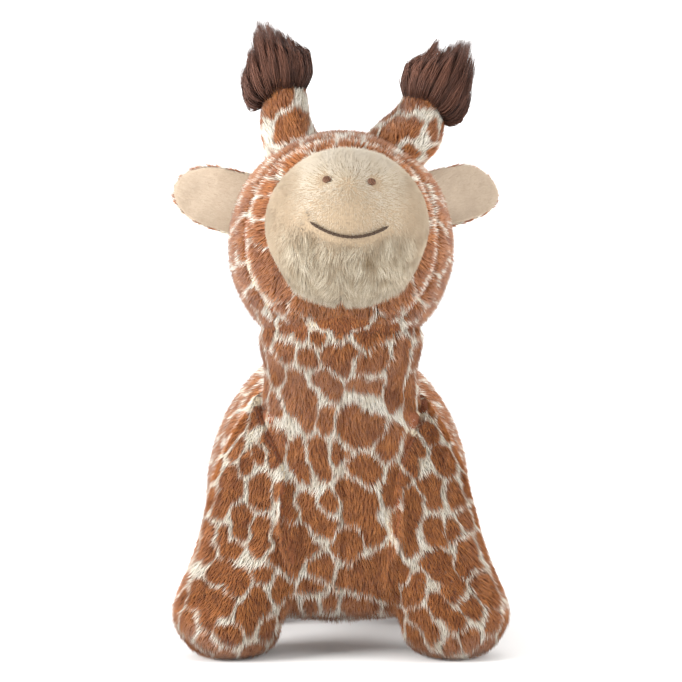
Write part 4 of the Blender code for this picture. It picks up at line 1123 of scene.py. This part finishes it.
def half_grid(above, rows=70, arc_columns=72, cut_columns=24):
    """Rings of the muzzle cut at the split: an arc, and a straight line back along the cut."""
    s = np.linspace(*snout.ends, 600)
    if not above:
        s = s[cut_rings(s)[2] > -DEEPEST_CUT]
    centre, size, cut = cut_rings(np.linspace(s[0], s[-1], rows))
    low = np.arcsin(np.clip(cut, -DEEPEST_CUT, DEEPEST_CUT))[:, None]
    step = np.linspace(0, 1, arc_columns)
    turn = low + step * (np.pi - 2 * low) if above else np.pi - low + step * (np.pi + 2 * low)
    up = np.sin(turn)
    arc = centre[:, None] + (np.cos(turn) * size[:, :1])[..., None] * np.array([1.0, 0, 0])
    arc[..., 2] += np.where(up >= 0, size[:, 1:2], size[:, 2:3]) * up
    back = np.linspace(0, 1, cut_columns + 2)[1:-1, None]
    chord = arc[:, -1:] + back * (arc[:, :1] - arc[:, -1:])
    return np.concatenate([arc, chord], axis=1) + SHIFT


for name, above in (("muzzle", True), ("chin", False)):
    plain_skin(f"{name}_skin", half_grid(above), SHADED_CREAM_CLOTH, "head", [name])
print("muzzle skins done")

# %% Nostril pads
NOSTRIL_SIZE = 2.2 * MM
NOSTRIL_SPOTS = {"left": (-7.6, 85.2), "right": (16.5, 83.6)}
surface, surface_out = scattered(snout, 4.0, (0.3, 3.0))
across, up, _ = in_picture(surface)
ring, turn = grid_of(np.linspace(0, 1, 14), 36)
x, z = ring * np.cos(turn), ring * np.sin(turn)
dome, sunk = np.sqrt(np.clip(1 - ring**2, 0, 1)), 0.5 * ring**2
threads = 1 + 0.16 * np.sin(2 * np.pi * x * 4.2)
lifts = (MM * (0.9 * dome * threads - sunk), MM * (-dome - sunk))
nostril_at, nostril_pads = [], {}
for name, spot in NOSTRIL_SPOTS.items():
    nearest = np.hypot(across - spot[0] * MM, up - spot[1] * MM).argmin()
    centre, ahead = surface[nearest], surface_out[nearest]
    side = unit(np.cross([0, 0, 1.0], ahead))
    flat = NOSTRIL_SIZE * (x[..., None] * side + 0.92 * z[..., None] * np.cross(ahead, side))
    front, back = (centre + flat + lift[..., None] * ahead for lift in lifts)
    grid = np.concatenate([front, back[::-1][1:]])
    nostril_pads[name], _ = skin_mesh(f"nostril_{name}_pad", grid)
    nostril_at.append(centre)
print("nostrils at", np.round(nostril_at, 4).tolist())


# %% Cream pile
def cream_pile_material():
    """Cream fibres: warm and pale on the cheeks, greyer where they are long, with painted shade:
    dark roots where they are long, and darker fibres in the folds beside the smile.
    """
    material, tree, shader = new_material("cream_polyester_pile")
    grey, tone, tip, nose, crease = (
        add(tree, "ShaderNodeAttribute", attribute_name=key).outputs["Fac"]
        for key in ("grey", "tone", "tip", "nose", "crease")
    )
    warm, pale, cool = (
        add(tree, "ShaderNodeMix", {0: tone, 6: paint(dark), 7: paint(light)}, **COLOUR)
        for dark, light in (
            ("#98846d", "#ac9b84"), ("#bdae97", "#cbc0b0"), ("#7d6646", "#e2d6c0")
        )
    )
    cheeks = add(tree, "ShaderNodeMix", {0: nose, 6: warm, 7: pale}, **COLOUR)
    coat = add(tree, "ShaderNodeMix", {0: grey, 6: cheeks, 7: cool}, **COLOUR)
    foot = add(tree, "ShaderNodeMapRange", {0: grey, 3: 0.94, 4: 0.52})
    hidden = add(tree, "ShaderNodeMapRange", {0: crease, 3: 1.0, 4: 0.12})
    shade = add(tree, "ShaderNodeMapRange", {0: tip, 2: 0.7, 3: foot, 4: 1.0})
    both = add(tree, "ShaderNodeMath", {0: shade, 1: hidden}, operation="MULTIPLY")
    dark = add(tree, "ShaderNodeMix", {0: 1.0, 6: coat, 7: both}, **TIMES)
    fill(tree, shader, {
        "Base Color": dark, "Roughness": 0.65, "IOR": POLYESTER_IOR,
        "Specular IOR Level": 0.12, "Sheen Weight": 0.05,
    })
    return material


CREAM_PILE = cream_pile_material()

# %% [markdown]
# Distances to the smile, to the nostrils and to the small folds beside the smile say
# where the cream pile is left out, cut shorter or shaded.


# %% Distances on the muzzle
def eased(values, low, high):
    """0 below low, 1 above high, and a smooth step between."""
    t = np.clip((values - low) / (high - low), 0, 1)
    return t * t * (3 - 2 * t)


def smile(across):
    """The smile's height: a parabola that hangs 6.4 mm and falls 1.1 mm to the right."""
    return MOUTH_Z - 0.0064 * (1 - across**2) - 0.0011 * across


def mouth_distance(place):
    """How far a point is from the smile, and how far above it, seen from the front."""
    across = np.clip((place[:, 0] - SHIFT[0] - MOUTH_X) / MOUTH_HALF, -1, 1)
    above = place[:, 2] - smile(across)
    return np.hypot(place[:, 0] - MOUTH_X - across * MOUTH_HALF, above), above


def to_nostril(place):
    """Distance from the nearer nostril's middle."""
    return np.minimum(*[np.linalg.norm(place - centre, axis=1) for centre in nostril_at])


def to_dimple(place):
    """Distance from the two small folds beside the smile's left end, seen from the front.

    One fold stands upright, and the other runs from its foot outwards and down.
    """
    across = place[:, 0] - SHIFT[0] - MOUTH_X + 0.0200
    up = place[:, 2] - SHIFT[2] - MOUTH_Z
    fold = np.hypot(across, np.maximum(np.abs(up - 0.0030) - 0.0019, 0))
    along = np.clip((0.0011 - across - up) / 0.0064, 0, 1)
    return np.minimum(fold, np.hypot(across + 0.0035 * along, up - 0.0011 + 0.0029 * along))


print("the smile is", round(2000 * MOUTH_HALF, 1), "mm wide")

# %% Roots and nap of the cream pile
STITCHES_Y, PARTING_X = -0.125, MOUTH_X - 0.004
place, out = outside(scattered(snout, 3.8 * DENSITY), head)
stitched = (mouth_distance(place)[0] < 0.7 * MM) | (to_nostril(place) < 2.3 * MM)
open_skin = ~(stitched & (place[:, 1] < SHIFT[1] + STITCHES_Y))
place, out = place[open_skin], out[open_skin]
gap, above = mouth_distance(place)
sideways = np.abs(place[:, 0] - MOUTH_X)
chin = eased(-above, -1 * MM, 9 * MM) * eased(0.040 - sideways, 0, 0.016)
nose = eased(above, -3 * MM, 1.5 * MM) * eased(0.032 - sideways, 0, 0.016)
kept = RNG.random(len(place)) > 0.45 * chin
place, out, gap, chin, nose = (v[kept] for v in (place, out, gap, chin, nose))
brow = np.hypot(place[:, 0] - MOUTH_X, place[:, 2] - BROW_Z)
middle = np.exp(-(brow / 0.007) ** 2)
under = eased(CHIN_Z - place[:, 2], 0, 0.014)
upper = eased(place[:, 2] - MUZZLE_Z, 0.010, 0.030)
long = MM * (3.2 + 4.8 * chin * (1 - 0.3 * under) + (1.2 * upper + 0.6) * nose)
long *= 0.65 + 0.35 * eased(gap, 0.8 * MM, 2.5 * MM)
long *= 0.7 + 0.3 * eased(to_dimple(place), 0.5 * MM, 2 * MM)
long *= 0.35 + 0.65 * eased(to_nostril(place), 2.1 * MM, 5 * MM)
rim = eased(-np.abs(out[:, 1]), -0.5, -0.1)
lift = 19 - 2 * nose + 9 * middle + 3 * chin + 36 * chin * rim
top = np.array([MOUTH_X, MUZZLE_FRONT_Y + SHIFT[1] + 0.004, BROW_Z])
nap = unit(place - top) + stacked(0, 0.3, 0.35 * nose - 0.2 - 1.8 * chin)
nap += 0.4 * middle[:, None] * RNG.normal(size=nap.shape)
parting = place[:, 0] - PARTING_X
nap[:, 0] += 1.4 * np.sign(parting) * np.exp(-np.abs(parting) / 0.005) * under
print("cream pile:", len(place), "roots")

# %% Laying the cream pile
halfway = place + 0.5 * long[:, None] * laid_flat(nap, out)
# Painted shade in the small folds beside the smile, by each fibre's halfway point.
crease = np.exp(-((to_dimple(halfway) / (1.7 * MM)) ** 2))
lower = place[:, 2] < SPLIT_Z
# The tone drops by up to 0.12 in the brow's middle, so the fibres there are a little darker.
for name, part in (("muzzle_pile", ~lower), ("chin_pile", lower)):
    grey = chin[part]
    lay_pile(name, (place[part], out[part]), nap[part], long[part], lift[part], "head",
             "cream_pile", CREAM_PILE, depth=CREAM_DEPTH, wide=(0.43 - 0.05 * grey) * MM,
             swirl_deg=14 + 8 * grey, lock=1.9 * MM, cling=0.12 + 0.26 * grey,
             seed=81 + len(name), printed=False, tall=1.6, lock_share=0.42,
             tone_drop=0.12 * middle[part], grey=grey, nose=nose[part], crease=crease[part])
print("muzzle pile done")

# %% [markdown]
# The smile is chain stitch in thick embroidery thread. Its path lies on the muzzle: a
# smooth curve is fitted to the depth of the muzzle's surface along the parabola. The
# thread swells and narrows with each 2.2 mm stitch.

# %% Smile
surface, _ = scattered(snout, 3.0, (0.3, 3.0))
across = np.linspace(-1.0, 1.0, 221)
x, z = MOUTH_X + MOUTH_HALF * across, smile(across)
near = np.abs(surface[:, 2] - np.interp(surface[:, 0], x, z)) < 1.2 * MM
near &= (surface[:, 1] < -0.13) & (np.abs(surface[:, 0] - MOUTH_X) < MOUTH_HALF + 0.002)
depth = np.polyfit(surface[near, 0], surface[near, 1], 4)
line = stacked(x, np.polyval(depth, x) - 0.0006, z)
way = unit(np.gradient(line, axis=0))
side = unit(np.cross(way, [0, -1.0, 0]))
stitch = np.abs(np.sin(np.pi * np.linspace(0, 18, len(line))))
radius = MM * (0.53 + 0.22 * stitch**0.7) * np.minimum(1, 12 * (1 - np.abs(across)) + 0.05)
turn = np.linspace(0, 2 * np.pi, 10, endpoint=False)[:, None]
ring = np.cos(turn) * side[:, None] + np.sin(turn) * np.cross(side, way)[:, None]
SMILE, _ = skin_mesh("smile_stitches", line[:, None] + radius[:, None, None] * ring)
print("smile of", len(SMILE.polygons), "faces")

# %% [markdown]
# ## Horn and tail tufts
# The dark tufts are long pile, 30 to 40 mm, that clings in flame-shaped locks. Each hair
# is a curved tapering tube with three sides. It leaves the horn, swells out round it and
# runs to the tip of its lock.


# %% Long hairs
def hair_mesh(name, paths, radius):
    """Three-sided tubes along paths, closed at the root and drawn to a point at the tip.

    The mesh comes with each vertex's share of the way from root to tip.
    """
    count, steps = paths.shape[:2]
    way = unit(np.gradient(paths, axis=1))
    side = unit(np.cross(way, np.array([0.31, 0.92, 0.22])))
    up = np.cross(way, side)
    turn = 2 * np.pi * np.arange(3)[:, None] / 3
    ring = np.cos(turn) * side[:, :-1, None] + np.sin(turn) * up[:, :-1, None]
    taper = (1 - np.linspace(0, 1, steps)[:-1] ** 2.6) * radius[:, None]
    tubes = paths[:, :-1, None] + ring * np.maximum(taper, 0.05 * MM)[..., None, None]
    points = np.concatenate([tubes.reshape(count, -1, 3), paths[:, -1:]], axis=1)
    k, j = np.meshgrid(3 * np.arange(steps - 2), np.arange(3), indexing="ij")
    low, beside = (k + j).ravel(), (k + (j + 1) % 3).ravel()
    base, tip = (steps - 2) * 3, (steps - 1) * 3
    faces = np.concatenate([
        stacked(low, beside, beside + 3), stacked(low, beside + 3, low + 3),
        [(base, base + 1, tip), (base + 1, base + 2, tip), (base + 2, base, tip), (0, 2, 1)],
    ])
    along = np.append(np.repeat(np.arange(steps - 1), 3), steps - 1) / (steps - 1)
    across = np.append(np.tile([0.15, 0.85, 0.5], steps - 1), 0.5)
    mesh = repeated_mesh(name, points, faces, stacked(across, 0.12 + 0.76 * along))
    return mesh, np.tile(along, count)


def long_pile_material():
    """Dark brown long pile: greyer where it is shaded, with a soft gloss along the locks."""
    material, tree, shader = new_material("dark_long_polyester_pile")
    tone, tip = (
        add(tree, "ShaderNodeAttribute", attribute_name=key).outputs["Fac"]
        for key in ("tone", "tip")
    )
    brown = {0: tone, 6: paint("#321e18"), 7: paint("#714a3a")}
    coat = add(tree, "ShaderNodeMix", brown, **COLOUR)
    shade = add(tree, "ShaderNodeMapRange", {0: tip, 1: 0.0, 2: 0.6, 3: 0.6, 4: 1.05})
    dark = add(tree, "ShaderNodeMix", {0: 1.0, 6: coat, 7: shade}, **TIMES)
    fill(tree, shader, {
        "Base Color": dark, "Roughness": 0.5, "IOR": POLYESTER_IOR,
        "Specular IOR Level": 0.2, "Sheen Weight": 0.02,
    })
    return material


LONG_PILE = long_pile_material()
# The tufts' cores are the long pile's brown darkened as at its roots: painted shade deep inside the
# tufts.
SHADED_LONG_CLOTH = cloth_material("dark_knit_backing_painted_shade", "#3c2b26", "#3c2b26")

# %% [markdown]
# The locks of each tuft end in tips at different heights, which give the flame outline:
# the left tuft has one peak and a falling shoulder, the right one has two peaks. The
# nearer locks are shorter, so that their tips show against those behind.

# %% Horn tufts
TUFT_OUTLINE = {
    "left": (
        (-17.5, 42), (-16.5, 46.5), (-14, 47.5), (-11, 57.5), (-7.6, 67.2), (-2.4, 66),
        (1.2, 62.2), (3.5, 59.7), (7.5, 55.3), (11.6, 50.3), (15.4, 45.5), (17, 40),
    ),
    "right": (
        (-14.7, 39), (-11, 47), (-6.6, 54.5), (-4.9, 62), (-3.2, 62), (-1.2, 56), (0.6, 60),
        (2.4, 62.4), (6.8, 67), (11, 68), (14.6, 58.5), (15.6, 61), (16.5, 52), (20, 43),
        (22, 36),
    ),
}
TUFT_MIDDLE = {"left": -1.2 * MM, "right": 3.2 * MM}
BELLY_SHIFT = {"left": 2.6 * MM, "right": -1.8 * MM}
TUFT_SEED = {"left": 5, "right": 9}
SKIRT_FROM = 0.7
HAIRS = 1.0


def tuft_paths(name, side, count, locks=44, steps=7):
    """Hair paths in the horn's own axes, each a curve through its start, belly and tip.

    A hair starts on the horn, bends out to its share of the tuft's radius, and is drawn
    to the tip of its lock. A lock's tip lies under the tuft's outline. On the outer side
    the hairs start lower and droop before they rise. The paths come with each hair's
    lock, and its distance from the lock's middle.
    """
    made = np.random.default_rng(TUFT_SEED[name])
    lock_turn = 2 * np.pi * (np.arange(locks) * 0.618 % 1)
    lock_out = np.sqrt((np.arange(locks) + 0.5) / locks)
    lock_spot = stacked(lock_out * np.cos(lock_turn), lock_out * np.sin(lock_turn))
    outline = np.array(TUFT_OUTLINE[name]) * MM
    tip_x = TUFT_MIDDLE[name] + lock_spot[:, 0] * 0.0172 + 0.0004 * made.normal(size=locks)
    top = np.interp(tip_x, outline[:, 0], outline[:, 1]) + 1.6 * MM
    near = np.clip(-lock_spot[:, 1], 0, 1)
    top = top - (0.008 * near**1.5 + 0.004 * made.random(locks) * (near > 0.05))
    tips = stacked(tip_x, lock_spot[:, 1] * 0.0120, top)
    turn = made.uniform(0, 2 * np.pi, count)
    share = made.uniform(0.05, 1, count) ** 0.42
    spot = stacked(share * np.cos(turn), share * np.sin(turn))
    own = ((spot[:, None] - lock_spot) ** 2).sum(-1).argmin(axis=1)
    from_middle = spot - lock_spot[own]
    outer = np.clip(side * np.cos(turn), 0, 1)
    inner = np.clip(-side * np.cos(turn), 0, 1)
    skirt = share > SKIRT_FROM
    within = np.where(skirt, 1.0, share)
    low = (28.5 - 7.0 * outer**1.5 - 1.5 * inner) * MM + made.uniform(0, 7, count) * MM
    start_z = np.where(skirt, low, made.uniform(30, 36, count) * MM)
    start_x = 0.0122 * np.cos(turn) + 0.4 * TUFT_MIDDLE[name]
    start = stacked(start_x * within, 0.0122 * np.sin(turn) * within, start_z)
    end = tips[own] + made.normal(size=(count, 3)) * np.array([0.9, 0.9, 1.3]) * MM
    end[:, :2] += 0.0030 * from_middle
    end[:, 2] -= 0.009 * made.random(count) ** 3
    reach = (0.0205 + 0.0070 * outer**2) * within
    droop = 0.017 * outer**2 * skirt * made.uniform(0.5, 1.0, count)
    belly = stacked(
        TUFT_MIDDLE[name] + BELLY_SHIFT[name] + reach * np.cos(turn), reach * np.sin(turn),
        start_z + 0.008 + 0.008 * made.random(count) - droop,
    )
    together = np.stack([np.bincount(own, column, locks) for column in belly.T], axis=1)
    together /= np.maximum(np.bincount(own, minlength=locks), 1)[:, None]
    belly += np.array([0.25, 0.25, 0.1]) * (together[own] - belly)
    u = np.linspace(0, 1, steps)[:, None]
    paths = (1 - u) ** 2 * start[:, None] + 2 * u * (1 - u) * belly[:, None] + u**2 * end[:, None]
    return paths, own, np.linalg.norm(from_middle, axis=1)


# %% Hairs and cores of the horn tufts
for name, (turned, place, side) in horn_stand.items():
    body, count = f"horn_{name}", int(3200 * HAIRS)
    paths, own, apart = tuft_paths(name, side, count)
    radius = RNG.uniform(0.18, 0.32, count) * MM
    mesh, along = hair_mesh(f"horn_tuft_{name}_hair", paths @ turned.T + place, radius)
    tone = 0.6 * np.random.default_rng(4).random(own.max() + 1)[own] + 0.5 * RNG.random(count)
    # Hairs far from their lock's middle get a darker tone: painted shade between the locks.
    mark(mesh, tone=np.clip(tone + 0.25 - 2.6 * apart, 0, 1), tip=along)
    piece(mesh.name, mesh, LONG_PILE, body, [f"horn_tuft_{name}"])
    form = tuft_forms[name]
    core = skin_grid(form, 7.5 * MM, 30, 36, (2.0, form.ends[1] - 1.6))
    plain_skin(f"horn_tuft_{name}_core", core, SHADED_LONG_CLOTH, body)
print("horn tufts done")

# %% Tail tuft
count = int(900 * HAIRS)
turn, share = RNG.uniform(0, 2 * np.pi, (count, 1)), np.sqrt(RNG.random((count, 1)))
u = np.linspace(0, 1, 6)
spread = (0.0022 + 0.0075 * np.sin(np.pi * u**0.8)) * share
fall = -0.047 - 0.040 * u * RNG.uniform(0.82, 1.0, (count, 1))
paths = stacked(spread * np.cos(turn), 0.017 + spread * np.sin(turn), fall) + TAIL_AT
mesh, along = hair_mesh("tail_tuft_hair", paths, RNG.uniform(0.2, 0.3, count) * MM)
mark(mesh, tone=RNG.random(count), tip=along)
piece("tail_tuft_hair", mesh, LONG_PILE, "tail", ["tail_tuft"])
print("tail tuft done")

# %% [markdown]
# ## Sewn and moulded details
# The nostrils are small pads of satin stitch in brown embroidery thread, the closing seam
# is plain sewing thread, and the eyes are moulded black plastic domes with nylon washers
# behind the cloth. Seam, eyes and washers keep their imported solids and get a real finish.


# %% Finishes of thread and plastic
def thread_material(name, dark, light, twist):
    """Twisted polyester thread: fine slanting bands with painted shade in the grooves between the
    plies, and a silky gloss.
    """
    material, tree, shader = new_material(name)
    where = add(tree, "ShaderNodeTexCoord").outputs["Object"]
    slant = add(tree, "ShaderNodeMapping", {"Vector": where, "Rotation": (0, 0.6, 0.5)})
    twisted = {"Vector": slant, "Scale": twist, "Distortion": 2.0, "Detail": 2.0}
    bands = add(tree, "ShaderNodeTexWave", twisted).outputs[1]
    coat = add(tree, "ShaderNodeMix", {0: bands, 6: paint(dark), 7: paint(light)}, **COLOUR)
    height = {"Height": bands, "Strength": 0.5, "Distance": 0.2 * MM}
    bump = add(tree, "ShaderNodeBump", height)
    fill(tree, shader, {
        "Base Color": coat, "Normal": bump, "Roughness": 0.6, "IOR": POLYESTER_IOR,
        "Specular IOR Level": 0.2,
    })
    return material


def even_material(name, low, high, rough, coat_weight=0.0, cloud_scale=220.0):
    """Moulded plastic or painted board: an even colour with a faint cloudiness."""
    material, tree, shader = new_material(name)
    where = add(tree, "ShaderNodeTexCoord").outputs["Object"]
    clouds = {"Vector": where, "Scale": cloud_scale, "Detail": 2.0}
    cloud = add(tree, "ShaderNodeTexNoise", clouds)
    coat = add(tree, "ShaderNodeMix", {0: cloud, 6: paint(low), 7: paint(high)}, **COLOUR)
    fill(tree, shader, {
        "Base Color": coat, "Roughness": rough, "IOR": 1.5, "Coat Weight": coat_weight,
    })
    return material


BROWN_THREAD = thread_material("brown_embroidery_thread", "#2f231b", "#4d3b2c", 420.0)
NOSE_THREAD = thread_material("tan_embroidery_thread", "#4c3224", "#74503b", 420.0)
SEWING_THREAD = thread_material("cream_sewing_thread", "#d8ccb6", "#efe7d8", 520.0)
EYE_PLASTIC = even_material("black_moulded_plastic", "#0b0a0a", "#161312", 0.08, 0.6)
NYLON = even_material("white_moulded_nylon", "#e4e3dd", "#efeee9", 0.4, 0.0)
piece("smile_stitches", SMILE, BROWN_THREAD, "head", ["mouth_stitching"])
for name, mesh in nostril_pads.items():
    piece(mesh.name, mesh, NOSE_THREAD, "head", [f"nostril_{name}"])
for name, material in (
    ("closing_stitches", SEWING_THREAD), ("eye_left", EYE_PLASTIC), ("eye_right", EYE_PLASTIC),
    ("eye_washer_left", NYLON), ("eye_washer_right", NYLON),
):
    for slot in frame["nodes"][name].material_slots:
        slot.material = material
shown = sorted(name for name, node in frame["nodes"].items() if not node.hide_render)
print("packed nodes still shown:", shown)

# %% [markdown]
# ## Floor and light
# The picture was taken on white with soft even light, a little stronger from above and
# the left. A pale floor, two large lamps and a white surround give the same. The surround
# is dimmer behind the camera, so that the sides are brighter than the chest.

# %% Floor and light
BOARD = even_material("white_studio_board", "#f6f6f5", "#fbfbfa", 0.9, cloud_scale=3.0)
FLOOR_HALF = 8.0
corners = [(x * FLOOR_HALF, y * FLOOR_HALF, 0) for x, y in ((-1, -1), (1, -1), (1, 1), (-1, 1))]
floor_mesh = bpy.data.meshes.new("studio_floor")
floor_mesh.from_pydata(corners, [], [(0, 1, 2, 3)])
floor_mesh.materials.append(BOARD)
floor = bpy.data.objects.new("studio_floor", floor_mesh)
bpy.context.scene.collection.objects.link(floor)


def soft_lamp(name, place, aim, size, watts):
    """A square lamp that faces its aim."""
    data = bpy.data.lights.new(name, "AREA")
    data.shape, data.size, data.energy = "SQUARE", size, watts
    lamp = bpy.data.objects.new(name, data)
    way = unit(np.array(aim) - np.array(place))
    lamp.location = place
    lamp.rotation_euler = (math.acos(-way[2]), 0, math.atan2(way[0], -way[1]) + math.pi)
    bpy.context.scene.collection.objects.link(lamp)


soft_lamp("key_lamp", (-1.9, -1.0, 0.85), (0, 0, 0.15), 1.3, 82.0)
soft_lamp("fill_lamp", (1.9, -0.7, 0.65), (0, 0, 0.15), 1.3, 34.0)
world = bpy.data.worlds.new("white_surround")
world.use_nodes = True
tree = world.node_tree
way = add(tree, "ShaderNodeTexCoord").outputs["Generated"]
ahead = add(tree, "ShaderNodeSeparateXYZ", {0: way}).outputs["Y"]
strength = add(tree, "ShaderNodeMapRange", {0: ahead, 1: -1.0, 2: 0.4, 3: 0.44, 4: 1.6})
fill(tree, tree.nodes["Background"], {"Color": (1, 1, 1, 1), "Strength": strength})
bpy.context.scene.world = world
bpy.context.scene.view_settings.view_transform = "Standard"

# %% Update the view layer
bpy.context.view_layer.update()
